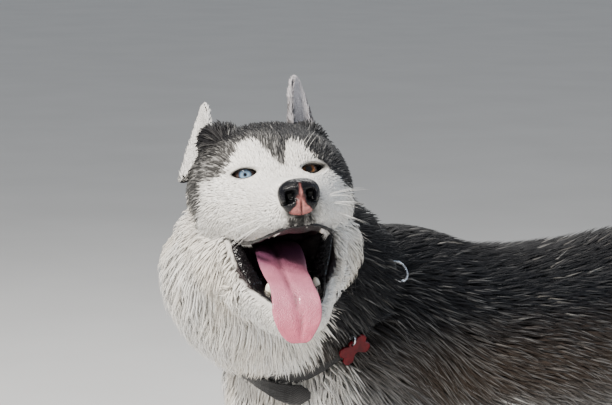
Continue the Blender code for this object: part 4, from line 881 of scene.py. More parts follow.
def within_lips(points):
    """Whether points lie inside the lips' edges: the underside of the upper jaw, or the top of the lower one."""
    inside = np.zeros(len(points), bool)
    upper = smooth_rows(UPPER_LIP, 4)
    lower = to_local(moved(smooth_rows(LOWER_LIP, 4), HEAD_AT), JAW_AT)
    for line, matrix, up in ((upper, HEAD_AT, -1), (lower, JAW_AT, 1)):
        line = line[line[:, 1].argsort()]
        x, y, z = to_local(points, matrix).T
        across = np.interp(y, line[:, 1], line[:, 0])
        height = np.interp(y, line[:, 1], line[:, 2])
        gap = up * (z - height)
        ahead = y > line[0, 1] - 0.001
        inside |= (np.abs(x) < across - 0.0004) & (gap > -0.0015) & (gap < 0.022) & ahead & (y < line[-1, 1] + 0.004)
    return inside


def between_jaws(points):
    """Whether points lie in the open mouth below the upper jaw: nearer the middle than the lower lip's edge."""
    x, y, z = to_local(points, HEAD_AT).T
    edge = np.array(LOWER_LIP)[::-1]
    across = np.interp(z, edge[:, 2], edge[:, 0]) - 0.0005
    return (np.abs(x) < across) & (z < -0.0660) & (z > -0.1080) & (y > -0.0880) & (y < 0.0500)


def cheek_lining(points, normals, near):
    """Whether places near the lips face in towards the mouth, as the inner walls of the cheeks do."""
    local = to_local(points, HEAD_AT)
    facing = normals @ np.array(HEAD_AT.to_3x3())
    inward = facing[:, 0] * np.sign(local[:, 0]) < -0.15
    x, y, z = np.abs(local[:, 0]), local[:, 1], local[:, 2]
    return inward & (near < 0.032) & (x < 0.054) & (y < 0.055) & (z < -0.040) & (z > -0.128)


def under_lip(points, normals):
    """Whether places behind the edge of the upper lip face down into the mouth, as its lining does."""
    x, y, z = to_local(points, HEAD_AT).T
    down = (normals @ np.array(HEAD_AT.to_3x3()))[:, 2] < -0.30
    edge = np.array(UPPER_LIP)[::-1]
    across = np.interp(y, edge[:, 1], edge[:, 0]) - np.where(x > 0, 0.0010, 0.0085)
    high = np.interp(y, edge[:, 1], edge[:, 2]) + 0.0035
    return down & (np.abs(x) < across) & (y > -0.0975) & (y < 0.0450) & (z < high) & (z > -0.0850)


def lip_gap(points):
    """Distance from each point to the edge of the lower lip, and to that of the upper one."""
    gaps = []
    for path in (LOWER_LIP, UPPER_LIP):
        line = moved(lip_line(path)[::2], HEAD_AT)
        gaps.append(np.sqrt(((points[:, None] - line[None]) ** 2).sum(axis=2).min(axis=1)))
    return gaps


def eye_gap(points):
    """How far outside the nearer eye's opening each point lies, in the plane across its gaze."""
    gap = np.full(len(points), 1.0)
    for side in SIDES:
        local = to_local(points, eye_frame(side))
        reach = np.sqrt((local[:, 0] / EYE_OPENING[0]) ** 2 + (local[:, 2] / EYE_OPENING[1]) ** 2)
        away = np.hypot(local[:, 0], local[:, 2]) * (1 - 1 / np.maximum(reach, 1e-6))
        away = np.where((local[:, 1] < 0.004) & (np.abs(local[:, 1]) < 0.04), away, 1.0)
        gap = np.minimum(gap, away)
    return gap


def collar_gap(points):
    """Distance along the collar's axis from its middle, and outwards from its oval."""
    local = to_local(points, COLLAR)
    a, b = COLLAR_SIZE
    reach = np.hypot(local[:, 0] / a, local[:, 1] / b)
    return local[:, 2], (reach - 1) * np.hypot(local[:, 0], local[:, 1]) / np.maximum(reach, 1e-6)


def spaced(points):
    """The wanted distance between tufts: finest on the face, coarser on the trunk."""
    label = regions(points)[0]
    wanted = np.array(SPACING)[label]
    local = to_local(points, HEAD_AT)
    face = step(0.030, -0.020, local[:, 1])
    return np.where(label <= 1, wanted + (FACE_SPACING - wanted) * face, wanted)


def tuft_rings(skin, roots, normals, lie, length, depth, width, random, rounds):
    """Rings of three points along each tuft and a tip: it rises by a sine from under the skin to its depth."""
    stops = {2: (0.0, 0.50, 1.0), 3: (0.0, 0.34, 0.70, 1.0)}[rounds]
    taper = {2: (0.75, 0.85), 3: (0.70, 1.0, 0.68)}[rounds]
    count = len(roots)
    probes = [roots + lie * (length * t)[:, None] for t in stops[1:]]
    bases, outs = on_skin(skin, np.vstack(probes))
    bases = bases.reshape(len(probes), count, 3)
    outs = outs.reshape(len(probes), count, 3)
    path = [roots - normals * 0.0012]
    facing = [normals]
    for k, t in enumerate(stops[1:]):
        out = unit(0.4 * normals + 0.6 * outs[k])
        path.append(bases[k] + out * (depth * math.sin(math.pi * t / 2))[:, None])
        facing.append(out)
    path = np.stack(path, axis=1)
    curl = np.cross(lie, normals) * (random.normal(0, 0.07, count) * length)[:, None]
    path += curl[:, None] * (np.array(stops) ** 2)[None, :, None]
    along = unit(np.gradient(path, axis=1))
    rows = []
    for k in range(rounds):
        out = unit(facing[k] - along[:, k] * (facing[k] * along[:, k]).sum(axis=1, keepdims=True))
        across = np.cross(along[:, k], out)
        half = (width * taper[k] / 2)[:, None]
        centre = path[:, k]
        rows += [centre - across * half, centre + across * half, centre + out * half * 0.7]
    shape = np.stack(rows + [path[:, -1]], axis=1)
    shape[..., 2] = np.maximum(shape[..., 2], 0.0004)
    return shape, np.stack(facing, axis=1)


def tuft_faces(rounds):
    """Triangles of one tuft: two for each side between rings, three at the tip and one closing the root."""
    faces = [(0, 1, 2)]
    for k in range(rounds - 1):
        for a in range(3):
            b = (a + 1) % 3
            low, high = 3 * k, 3 * (k + 1)
            faces += [(low + a, high + a, low + b), (low + b, high + a, high + b)]
    top = 3 * (rounds - 1)
    tip = 3 * rounds
    faces += [(top + a, tip, top + (a + 1) % 3) for a in range(3)]
    return np.array(faces)


# Charts of the coat's own map: left, bottom, width and height for each region, then the two ears
CHARTS = (
    (0.01, 0.52, 0.36, 0.47),
    (0.39, 0.76, 0.20, 0.23),
    (0.61, 0.52, 0.38, 0.47),
    (0.01, 0.01, 0.46, 0.49),
    (0.39, 0.52, 0.20, 0.22),
    (0.49, 0.01, 0.09, 0.49),
    (0.60, 0.01, 0.09, 0.49),
    (0.71, 0.01, 0.09, 0.49),
    (0.82, 0.01, 0.09, 0.49),
    (0.93, 0.01, 0.06, 0.23),
    (0.93, 0.26, 0.06, 0.23),
)
PATCH = 0.003


def chart_places(label, along, turn):
    """Where each root lies in the coat's map: along its region's form, and round it."""
    left, bottom, wide, high = np.array(CHARTS)[label].T
    return np.stack([left + wide * along, bottom + high * (turn / (2 * math.pi) + 0.5)], axis=1)


def coat_piece(name, shape, colours, charts, facing, rounds):
    """One joined mesh of tufts, with its colours, its map and softened normals."""
    count, size = shape.shape[:2]
    faces = (tuft_faces(rounds)[None] + (np.arange(count) * size)[:, None, None]).reshape(-1, 3)
    made = mesh_object(name, shape.reshape(-1, 3), triangles=faces)
    mesh = made.data
    flat = np.ones((count * size, 4), np.float32)
    flat[:, :3] = colours.reshape(-1, 3)
    mesh.color_attributes.new("Coat", "FLOAT_COLOR", "POINT").data.foreach_set("color", flat.ravel())
    aside = np.tile((-0.5, 0.5, 0.0), rounds)
    spot = np.zeros((size, 2))
    spot[:-1, 0] = aside
    spot[:-1, 1] = np.repeat(np.linspace(-0.5, 0.25, rounds), 3)
    spot[-1, 1] = 0.5
    place = (charts[:, None] + PATCH * spot[None]).reshape(-1, 2)
    corner = np.empty(len(mesh.loops), np.int32)
    mesh.loops.foreach_get("vertex_index", corner)
    mesh.uv_layers.new(name="OFBake").data.foreach_set("uv", place[corner].astype(np.float32).ravel())
    own = array_of(mesh.vertex_normals, "vector", 3).reshape(count, size, 3)
    soft = np.repeat(facing[:, :rounds], 3, axis=1)
    soft = np.concatenate([soft, facing[:, -1:]], axis=1)
    mesh.normals_split_custom_set_from_vertices(unit(own + SOFTNESS * soft).reshape(-1, 3))
    return made


def shaded_hair(root, tip, rounds, random):
    """Colours at every point of each tuft: a painted shade darkening the root, its own random tone, the tip's colour
    at the end.
    """
    count = len(root)
    shade = random.normal(1.0, 0.09, count)[:, None]
    mix = {2: (0.0, 0.35, 1.0), 3: (0.0, 0.25, 0.6, 1.0)}[rounds]
    # Painted shade: each tuft is darker towards its root, as if shadowed by the hair over it
    depth = {2: (0.55, 0.95, 1.0), 3: (0.50, 0.85, 1.0, 1.0)}[rounds]
    stops = [(root + (tip - root) * m) * d * shade for m, d in zip(mix, depth)]
    stacked = np.stack([stops[k // 3] for k in range(3 * rounds)] + [stops[-1]], axis=1)
    return np.clip(stacked, 0.002, 0.90)


def painted(obj, colours, name="Coat"):
    """Gives an object's points their colours."""
    flat = np.ones((len(colours), 4), np.float32)
    flat[:, :3] = colours
    obj.data.color_attributes.new(name, "FLOAT_COLOR", "POINT").data.foreach_set("color", flat.ravel())
    return obj


def points_of(obj):
    """An object's points as an array."""
    return array_of(obj.data.vertices, "co", 3).astype(float)


def ear_axes(side):
    """An ear's foot, and its ways up, across from the edge nearer the nose, and out of its opening."""
    inner, outer, tip = (np.array(v) for v in EARS[side])
    base = (inner + outer) / 2
    up = unit(tip - base)
    across = unit(outer - inner) * SIDES[side]
    return base, up, across, unit(np.cross(across, up))


def ear_rows(side, count=26, across_count=24):
    """Rings of a cupped ear: arcs hung between its two edges, widest low down, narrowing to a rounded tip."""
    inner, outer, tip = (np.array(v) for v in EARS[side])
    base, up, across, out = ear_axes(side)
    root = base - up * EAR_ROOT
    v = np.linspace(-1.0, 1.0, across_count)
    rows = []
    for t in 1 - (1 - np.linspace(0.0, 1.0, count)) ** 1.3:
        rest = (1 - t ** EAR_ROUND[side][0]) ** EAR_ROUND[side][1]
        wrap = EAR_WRAP[0] + (EAR_WRAP[1] - EAR_WRAP[0]) * t
        radius = (np.linalg.norm(outer - inner) / 2 * rest + 0.0008) / math.sin(wrap)
        thick = (EAR_THICK[0] + (EAR_THICK[1] - EAR_THICK[0]) * t) * (1 - 0.6 * v * v)
        inside = radius - np.minimum(thick, radius * 0.7)
        arc = v * wrap
        sunk = radius * (math.cos(wrap) - np.cos(arc))
        behind = np.outer(radius * np.sin(arc), across) + EAR_DEPTH * np.outer(sunk, out)
        bend = radius * math.cos(wrap) - inside * np.cos(arc)
        front = np.outer(inside * np.sin(arc), across) + EAR_DEPTH * np.outer(bend, out)
        rows.append(root + (tip - root) * t + np.vstack([behind, front[::-1]]))
    return np.array(rows)


def ear_colours(obj, side, count):
    """Pale hair inside a cupped ear, dark behind."""
    points = points_of(obj)
    around = np.arange(len(points)) % count
    front = (around >= count / 2) & (np.arange(len(points)) < len(points) - 2)
    # The left ear's pale inside is painted grey: a painted shade of its white hair
    inside = WHITE * 0.62 if side == "right" else np.array((0.36, 0.33, 0.34))
    behind = BLACK * 1.5 if side == "right" else np.array((0.30, 0.29, 0.30))
    return np.where(front[:, None], inside[None], behind[None]) * (1 + 0.1 * noise(points, 0.006, 8))[:, None]


def eye_points(side):
    """Rings of an eyeball from the gaze round to the back, bulging over the iris; and the places on its iris."""
    angle = np.concatenate([np.linspace(0.02, 0.9, 26), np.linspace(0.96, math.pi - 0.02, 16)])
    bulge = EYE_RADIUS * (1 + 0.055 * np.exp(-(angle / 0.62) ** 4)) / 1.055
    turn = np.arange(48) * 2 * math.pi / 48
    x = np.outer(bulge * np.sin(angle), np.cos(turn))
    z = np.outer(bulge * np.sin(angle), np.sin(turn))
    y = -np.outer(bulge * np.cos(angle), np.ones(48))
    return np.stack([x, y, z], axis=-1)


def eye_ball(side):
    """An eyeball with a map named Iris: its place across the gaze, from the middle of the pupil."""
    points = eye_points(side)
    made = loft("eyeball_" + side, points, eye_frame(side))
    local = to_local(points_of(made), eye_frame(side))
    mesh = made.data
    corner = np.empty(len(mesh.loops), np.int32)
    mesh.loops.foreach_get("vertex_index", corner)
    place = local[:, (0, 2)] - np.array(PUPIL_AT[side])
    place[local[:, 1] > 0] = 1.0
    mesh.uv_layers.new(name="Iris").data.foreach_set("uv", (place[corner] * 100).astype(np.float32).ravel())
    return made


def lids(skin, side):
    """Eyelids: rings of the almond's outline from the ball's surface out on to the skin, with a rounded wet rim."""
    grows = (-0.0008, -0.0002, 0.0004, 0.0010, 0.0018, 0.0028, 0.0040, 0.0054)
    lifts = (-0.0006, 0.0004, 0.0012, 0.0014, 0.0013, 0.0011, 0.0009, 0.0005)
    frame_of_eye = eye_frame(side)
    rows = []
    for grow, lift in zip(grows, lifts):
        x, z = almond(64, grow)
        reach = EYE_RADIUS + lift
        y = -np.sqrt(np.maximum(reach ** 2 - x ** 2 - z ** 2, 1e-6))
        on_ball = moved(np.column_stack([x, y, z]), frame_of_eye)
        base, out = on_skin(skin, on_ball)
        weight = step(0.0006, 0.0050, np.full(64, grow))[:, None]
        rows.append(on_ball + (base + out * 0.0004 - on_ball) * weight)
    points = np.array(rows)
    quads, _ = ring_faces(len(rows), 64)
    made = mesh_object("lids_" + side, points.reshape(-1, 3), quads)
    middle = moved(np.array([[0.0, -0.03, 0.0]]), frame_of_eye)[0]
    a, b, c = (points.reshape(-1, 3)[quads[:, k]] for k in range(3))
    if np.einsum("ij,ij->i", np.cross(b - a, c - a), middle - a).sum() < 0:
        made.data.flip_normals()
    with_modifier(made, "SOLIDIFY", thickness=0.0008, offset=-1.0)
    local = to_local(points_of(made), frame_of_eye)
    reach = np.sqrt((local[:, 0] / EYE_OPENING[0]) ** 2 + (local[:, 2] / EYE_OPENING[1]) ** 2)
    away = np.hypot(local[:, 0], local[:, 2]) * (1 - 1 / np.maximum(reach, 1e-6))
    upper = step(0.0, 0.003, local[:, 2])
    edge = 1 - step(0.0014, 0.0034, away - 0.0012 * upper)
    rim = np.array((0.0050, 0.0042, 0.0045))
    beyond = np.array((0.42, 0.40, 0.38))
    return painted(made, blend(np.tile(beyond, (len(local), 1)), rim[None], edge))


def lip_line(path):
    """A lip's edge from one corner of the mouth round to the other, through finer points."""
    left = np.array(path)
    both = np.vstack([left, left[::-1] * (-1, 1, 1)])
    return smooth_rows(both, 10)


def upper_lip():
    """The thin wet edge of the upper lip, dipping a little and thicker at the corners."""
    line = lip_line(UPPER_LIP)
    t = np.linspace(-1, 1, len(line))
    radius = 0.0015 + 0.0008 * np.abs(t) ** 3 + 0.0002 * np.sin(40 * t)
    rows = np.column_stack([line, radius, radius * 1.2, radius * 1.2])
    return loft("upper_lip", rings(rows, 12, hint=(0.05, 0.1, 1.0)), HEAD_AT)


def lower_lip():
    """The broad dark lower lip: a folded band outside the lip's edge, its margin scalloped, its face wrinkled."""
    line = lip_line(LOWER_LIP)
    t = np.linspace(-1, 1, len(line))
    centre = line.mean(axis=0) + np.array((0.0, 0.030, 0.0))
    away = unit((line - centre) * (1, 1, 0.3))
    away[:, 1] = np.minimum(away[:, 1], 0.3)
    along = unit(np.gradient(line, axis=0))
    away = unit(away - along * (away * along).sum(axis=1, keepdims=True))
    broad = LOWER_LIP_BREADTH * (1 - 0.55 * np.exp(-(t / 0.30) ** 2)) * (1 - 0.45 * np.abs(t) ** 8)
    profile = np.array(
        ((-0.10, 0.5), (0.05, 1.4), (0.30, 1.9), (0.60, 1.5), (0.90, 1.0), (1.05, 0.2), (0.9, -0.9), (0.4, -1.2), (0.0, -0.6))
    )
    normal = unit(np.cross(along, away))
    normal *= np.sign((normal * (line - centre)).sum(axis=1, keepdims=True))
    inward = np.where(t < 0, 0.85, 0.42)
    scallop = 0.0006 * np.sin(150 * t)[:, None] * (profile[None, :, 0] < 0.3)
    wrinkle = 0.0003 * np.sin(90 * t[:, None] + 5 * profile[None, :, 0]) * (profile[None, :, 1] > 0)
    out = (profile[None, :, 0] - inward[:, None]) * broad[:, None] + scallop
    high = profile[None, :, 1] * 0.0011 + wrinkle
    points = line[:, None] + away[:, None] * out[..., None] + normal[:, None] * high[..., None]
    return loft("lower_lip", points, HEAD_AT)


def tooth_rings(root, tip, radius, lean):
    """Rings of a tooth: a cone that bends back, full near the gum and rounded at its point."""
    t = np.linspace(0, 1, 9)
    bend = np.outer(t * t, lean)
    line = root + np.outer(t, tip - root) + bend
    size = radius * np.sqrt(np.maximum(1 - t ** 1.8, 0.0)) + radius * 0.06
    return tube_rings(line, size, 12)


def tooth_row(name, row, up, matrix):
    """The teeth of one jaw on both sides, sunk in the gum, in one object."""
    forms = []
    for (x, y, z), length, radius in row:
        for side in SIDES.values():
            root = np.array((side * x, y, z - up * 0.005))
            tip = np.array((side * x, y + 0.05 * length, z + up * length))
            forms.append((tooth_rings(root, tip, radius, (0.0, 0.22 * length, 0.0)), matrix))
    return solid_from(name, forms)


def tongue():
    """The tongue: a flat loft with a curving groove, edges that wave and curl up a little, thin at the tip."""
    rows = smooth_rows(TONGUE, 8)
    points = rings(rows, 48, square=2.2)
    centre, across, up = section_frames(rows, np.array((1.0, 0.0, 0.0)))
    offset = points - centre[:, None]
    aside = np.einsum("ijk,ik->ij", offset, across) / rows[:, 3:4]
    above = step(-0.2, 0.4, np.einsum("ijk,ik->ij", offset, up) / rows[:, 4:5])
    t = np.linspace(0, 1, len(rows))[:, None]
    bend = (np.interp(rows[:, 2], TONGUE_LINE[0], TONGUE_LINE[1]) - rows[:, 0])[:, None] / rows[:, 3:4]
    fall = 0.0026 * np.exp(-(((aside - bend) / 0.11) ** 2)) * above * step(0.03, 0.25, t)
    curl = 0.0026 * np.abs(aside) ** 3 * np.sin(math.pi * np.clip(1.35 * t, 0, 1)) + 0.0007 * np.abs(aside) ** 4 * np.sin(34 * t)
    points = points + (curl - fall)[..., None] * up[:, None]
    return loft("tongue_flesh", points, HEAD_AT)


def tongue_colours(obj):
    """Pink, deeper towards the tip, with a painted shadow of the upper lip in dark purple at the back and painted
    shade along the groove.
    """
    points = points_of(obj)
    local = to_local(points, HEAD_AT)
    near_tip = step(-0.105, -0.155, local[:, 2])
    pink = blend(np.tile((0.44, 0.145, 0.210), (len(points), 1)), np.array((0.50, 0.110, 0.170))[None], near_tip)
    # Painted shadow of the upper lip: the back of the tongue turns dark purple
    painted_lip_shadow = step(-0.098, -0.072, local[:, 2] + 0.10 * (local[:, 1] + 0.05))
    shade = blend(pink, np.array((0.13, 0.040, 0.085))[None], painted_lip_shadow)
    middle = np.interp(local[:, 2], TONGUE_LINE[0], TONGUE_LINE[1])
    # Painted shade along the groove: the tongue is darkened there
    painted_groove_shade = np.exp(-(((local[:, 0] - middle) / 0.0014) ** 2)) * step(-0.156, -0.140, local[:, 2])
    fuzz = noise(points, 0.0016, 13)
    return shade * (1 - 0.55 * painted_groove_shade - 0.06 * noise(points, 0.006, 9) + 0.08 * fuzz)[:, None]


def nose_pad():
    """The nose pad: broader above, cleft in the middle, its comma-shaped nostrils pressed in with raised rims."""
    rows = smooth_rows(NOSE, 8)
    points = rings(rows, 96, square=2.3)
    lift = (points[..., 2] - rows[:, None, 2]) / rows[:, None, 4]
    points[..., 0] *= 1 + 0.14 * lift
    made = loft("nose_pad", points, HEAD_AT)
    with_modifier(made, "SUBSURF", levels=1, render_levels=1)
    local = to_local(points_of(made), HEAD_AT)
    x, y, z = local.T
    side = np.abs(x)
    front = step(-0.100, -0.110, y)
    hollow = nostril_depth(side, z)
    cleft = 0.0016 * np.exp(-(x / 0.0011) ** 2) * front * step(-0.022, -0.032, z)
    alar = 0.0012 * np.exp(-(((side - 0.0135) / 0.0030) ** 2 + ((z + 0.0335) / 0.0070) ** 2)) * front
    local[:, 1] += 0.0075 * hollow * front + cleft - alar
    made.data.vertices.foreach_set("co", moved(local, HEAD_AT).astype(np.float32).ravel())
    made.data.update()
    return made


def nostril_depth(side, z):
    """How deep the nostril is, from 0 to 1: a round hole with a slit that curls out and down behind it."""
    hole = np.exp(-(((side - 0.0092) / 0.0042) ** 4 + ((z + 0.0305) / 0.0048) ** 4))
    slit = np.exp(-(((z + 0.0362 + 0.25 * (side - 0.014)) / 0.0016) ** 2)) * step(0.007, 0.010, side) * step(0.0185, 0.0160, side)
    return np.clip(np.maximum(hole, 0.75 * slit), 0, 1)


def nose_colours(obj):
    """Black with a pink streak down the middle that widens to the lower edge, and painted shade in the nostrils and
    the middle cleft.
    """
    local = to_local(points_of(obj), HEAD_AT)
    x, _, z = local.T
    rough = noise(local, 0.0028, 10)
    width = np.interp(z, (-0.050, -0.044, -0.037, -0.028, -0.022), (0.0110, 0.0100, 0.0036, 0.0012, 0.0003))
    pink = step(0.0012, -0.0012, np.abs(x) - width + 0.0012 * rough)
    pink *= 0.92 * step(-0.018, -0.024, z)
    colour = blend(np.tile((0.0035, 0.0035, 0.0050), (len(local), 1)), np.array((0.40, 0.150, 0.140))[None], pink)
    # Painted shade: the nostrils' hollows and the middle cleft are darkened where shade falls into them
    hollow = nostril_depth(np.abs(x), z) * step(-0.100, -0.108, local[:, 1])
    cleft = np.exp(-(x / 0.0008) ** 2) * step(-0.030, -0.036, z)
    return colour * (1 - 0.9 * hollow)[:, None] * (1 - 0.75 * cleft)[:, None]


def whisker_roots(random):
    """Roots and directions of the whiskers in the head's frame: rows on the muzzle, a few over the eyes and chin."""
    rows = []
    for side in SIDES.values():
        for row, z in enumerate((-0.030, -0.038, -0.046, -0.053)):
            for k in range(5):
                y = -0.088 + 0.0085 * k + 0.003 * (row % 2)
                lie = np.array((side * (0.95 + 0.1 * k), 0.10 + 0.22 * k, 0.15 - 0.14 * row))
                rows.append(((side * 0.034, y, z), lie, 0.026 + 0.005 * k))
        for k in range(3):
            rows.append(((side * (0.022 + 0.004 * k), -0.014, 0.017), (side * 0.45, -0.55, 0.75), 0.024))
        for k in range(2):
            rows.append(((side * 0.010, -0.050 - 0.010 * k, -0.128), (side * 0.4, -0.4, -0.9), 0.020))
    made = []
    for root, lie, length in rows:
        made.append((np.array(root), unit(np.array(lie) + random.normal(0, 0.12, 3)), length * random.uniform(0.8, 1.15)))
    return made


def whiskers(skin, random):
    """Fine tapered hairs that bow under their weight, rooted on the skin, in one object."""
    forms = []
    turn = np.array(HEAD_AT.to_3x3())
    t = np.linspace(0, 1, 8)
    for root, lie, length in whisker_roots(random):
        start, out = on_skin(skin, moved(root[None], HEAD_AT))
        ahead = unit(turn @ lie + 0.5 * out[0])
        bow = np.outer(t * t, (0.0, 0.0, -0.18 * length))
        line = start[0] - out[0] * 0.001 + np.outer(t * length, ahead) + bow
        forms.append((tube_rings(line, 0.00026 * (1 - 0.85 * t), 4), Matrix()))
    return solid_from("whiskers", forms)


def claws():
    """Dark hooked claws in front of every toe, in one object."""
    forms = []
    t = np.linspace(0, 1, 8)
    for name in STRIDE:
        x, y = leg_rows(name)[-1][:2]
        for aside, ahead in TOES:
            start = np.array((x + aside, y - 0.030 + ahead - 0.0150, 0.0145))
            line = start + np.column_stack([0 * t, -0.0150 * t, 0.0012 * np.sin(math.pi * t) - 0.0085 * t * t])
            forms.append((tube_rings(line, 0.0032 * (1 - 0.82 * t), 10), PLACE))
    return solid_from("claws", forms)


def wire_ring(name, centre, axis, radius, wire):
    """A round ring of wire about an axis."""
    axis = unit(np.array(axis))
    first = unit(np.cross(axis, (0.3, 0.5, 0.81)))
    second = np.cross(axis, first)
    turn = np.arange(64) * 2 * math.pi / 64
    roll = np.arange(16) * 2 * math.pi / 16
    spoke = np.outer(np.cos(turn), first) + np.outer(np.sin(turn), second)
    points = centre + spoke[:, None] * (radius + wire * np.cos(roll))[None, :, None]
    points = points + axis * (wire * np.sin(roll))[None, :, None]
    i, k = np.meshgrid(np.arange(64), np.arange(16), indexing="ij")
    j, n = (i + 1) % 64, (k + 1) % 16
    quads = np.stack([i * 16 + k, j * 16 + k, j * 16 + n, i * 16 + n], axis=-1).reshape(-1, 4)
    made = mesh_object(name, points.reshape(-1, 3), quads)
    a, b, c = (points.reshape(-1, 3)[quads[:, m]] for m in range(3))
    if np.einsum("ij,ij->i", np.cross(b - a, c - a), a - np.array(centre)).sum() < 0:
        made.data.flip_normals()
    return made


def fitted_ring(name, node):
    """A fine ring in the place of a node's coarse one: its centre, axis and sizes read from the node's points."""
    points = points_of(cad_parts[node])
    centre = points.mean(axis=0)
    spread, axes = np.linalg.eigh(np.cov((points - centre).T))
    axis = axes[:, spread.argmin()]
    height = (points - centre) @ axis
    reach = np.linalg.norm(points - centre - np.outer(height, axis), axis=1)
    wire = (reach.max() - reach.min()) / 2
    return wire_ring(name, centre, axis, reach.max() - wire, wire)


def shader(name, **values):
    """A new material and its Principled shader, the shader's own sockets set by name."""
    made = bpy.data.materials.new(name)
    made.use_nodes = True
    surface = made.node_tree.nodes["Principled BSDF"]
    for socket, value in values.items():
        surface.inputs[socket.replace("_", " ")].default_value = value
    return made, made.node_tree, surface


def node(tree, kind, inputs=None, **settings):
    """A new shader node: inputs are values or the sockets that feed them."""
    made = tree.nodes.new("ShaderNode" + kind)
    for key, value in settings.items():
        setattr(made, key, value)
    for socket, value in (inputs or {}).items():
        if isinstance(value, bpy.types.NodeSocket):
            tree.links.new(value, made.inputs[socket])
        else:
            made.inputs[socket].default_value = value
    return made


def place(tree, matrix=None):
    """Object coordinates, or those of a frame given by its matrix."""
    spot = node(tree, "TexCoord").outputs["Object"]
    if matrix is None:
        return spot
    back = matrix.inverted()
    turn = node(tree, "Mapping", {"Vector": spot})
    turn.inputs["Location"].default_value = back.translation
    turn.inputs["Rotation"].default_value = back.to_euler()
    return turn.outputs["Vector"]


def maths(tree, operation, *values):
    """A maths node on values or sockets."""
    return node(tree, "Math", dict(enumerate(values)), operation=operation).outputs[0]


def ramp(tree, factor, stops):
    """A colour ramp through (place, colour) stops."""
    made = node(tree, "ValToRGB", {"Fac": factor})
    bar = made.color_ramp.elements
    while len(bar) < len(stops):
        bar.new(0.5)
    for item, (at, colour) in zip(bar, stops):
        item.position = at
        item.color = (*colour, 1.0)
    return made.outputs["Color"]


def mixed(tree, mode, factor, a, b):
    """Two colours mixed."""
    made = node(tree, "Mix", {0: factor, 6: a, 7: b}, data_type="RGBA", blend_type=mode)
    return made.outputs[2]


def bumped(tree, surface, height, distance, strength=1.0):
    """Bumps on a surface from a height."""
    made = node(tree, "Bump", {"Height": height, "Distance": distance, "Strength": strength})
    tree.links.new(made.outputs["Normal"], surface.inputs["Normal"])


def hair_material():
    """Hair: each point's own colour, with a fine streaky variation."""
    made, tree, surface = shader("hair", Roughness=0.58)
    surface.inputs["Specular IOR Level"].default_value = 0.12
    own = node(tree, "Attribute", attribute_name="Coat").outputs["Color"]
    grain = node(tree, "TexNoise", {"Vector": place(tree), "Scale": 900.0, "Detail": 2.0}).outputs["Fac"]
    shade = ramp(tree, grain, ((0.30, (0.78, 0.78, 0.78)), (0.70, (1.12, 1.12, 1.12))))
    tree.links.new(mixed(tree, "MULTIPLY", 1.0, own, shade), surface.inputs["Base Color"])
    return made


def skin_material():
    """Skin under the coat: its markings, short flat hair as bump, and the wet lining of the mouth."""
    made, tree, surface = shader("skin", Roughness=0.6)
    surface.inputs["Specular IOR Level"].default_value = 0.20
    own = node(tree, "Attribute", attribute_name="Coat").outputs["Color"]
    wet = node(tree, "Attribute", attribute_name="Wet").outputs["Fac"]
    spot = place(tree)
    grain = node(tree, "TexNoise", {"Vector": spot, "Scale": 520.0, "Detail": 4.0}).outputs["Fac"]
    shade = ramp(tree, grain, ((0.30, (0.74, 0.74, 0.74)), (0.70, (1.1, 1.1, 1.1))))
    tree.links.new(mixed(tree, "MULTIPLY", 1.0, own, shade), surface.inputs["Base Color"])
    rough = maths(tree, "MULTIPLY_ADD", wet, -0.36, 0.64)
    tree.links.new(rough, surface.inputs["Roughness"])
    bumped(tree, surface, grain, 0.0012)
    return made


def wet_material(name, scale, depth, roughness, coat, speckle, specular=0.5):
    """Wet flesh: each point's own colour, mottled, with a fine bump and a clear wet coat."""
    made, tree, surface = shader(name, Roughness=roughness, Coat_Weight=coat, Coat_Roughness=0.12)
    surface.inputs["Specular IOR Level"].default_value = specular
    own = node(tree, "Attribute", attribute_name="Coat").outputs["Color"]
    spot = place(tree)
    cells = node(tree, "TexVoronoi", {"Vector": spot, "Scale": scale}).outputs["Distance"]
    grain = node(tree, "TexNoise", {"Vector": spot, "Scale": scale * 0.45, "Detail": 5.0}).outputs["Fac"]
    shade = ramp(tree, grain, ((0.30, (1 - speckle,) * 3), (0.70, (1 + 0.5 * speckle,) * 3)))
    tree.links.new(mixed(tree, "MULTIPLY", 1.0, own, shade), surface.inputs["Base Color"])
    uneven = maths(tree, "MULTIPLY_ADD", grain, 0.5, cells)
    bumped(tree, surface, uneven, depth)
    return made


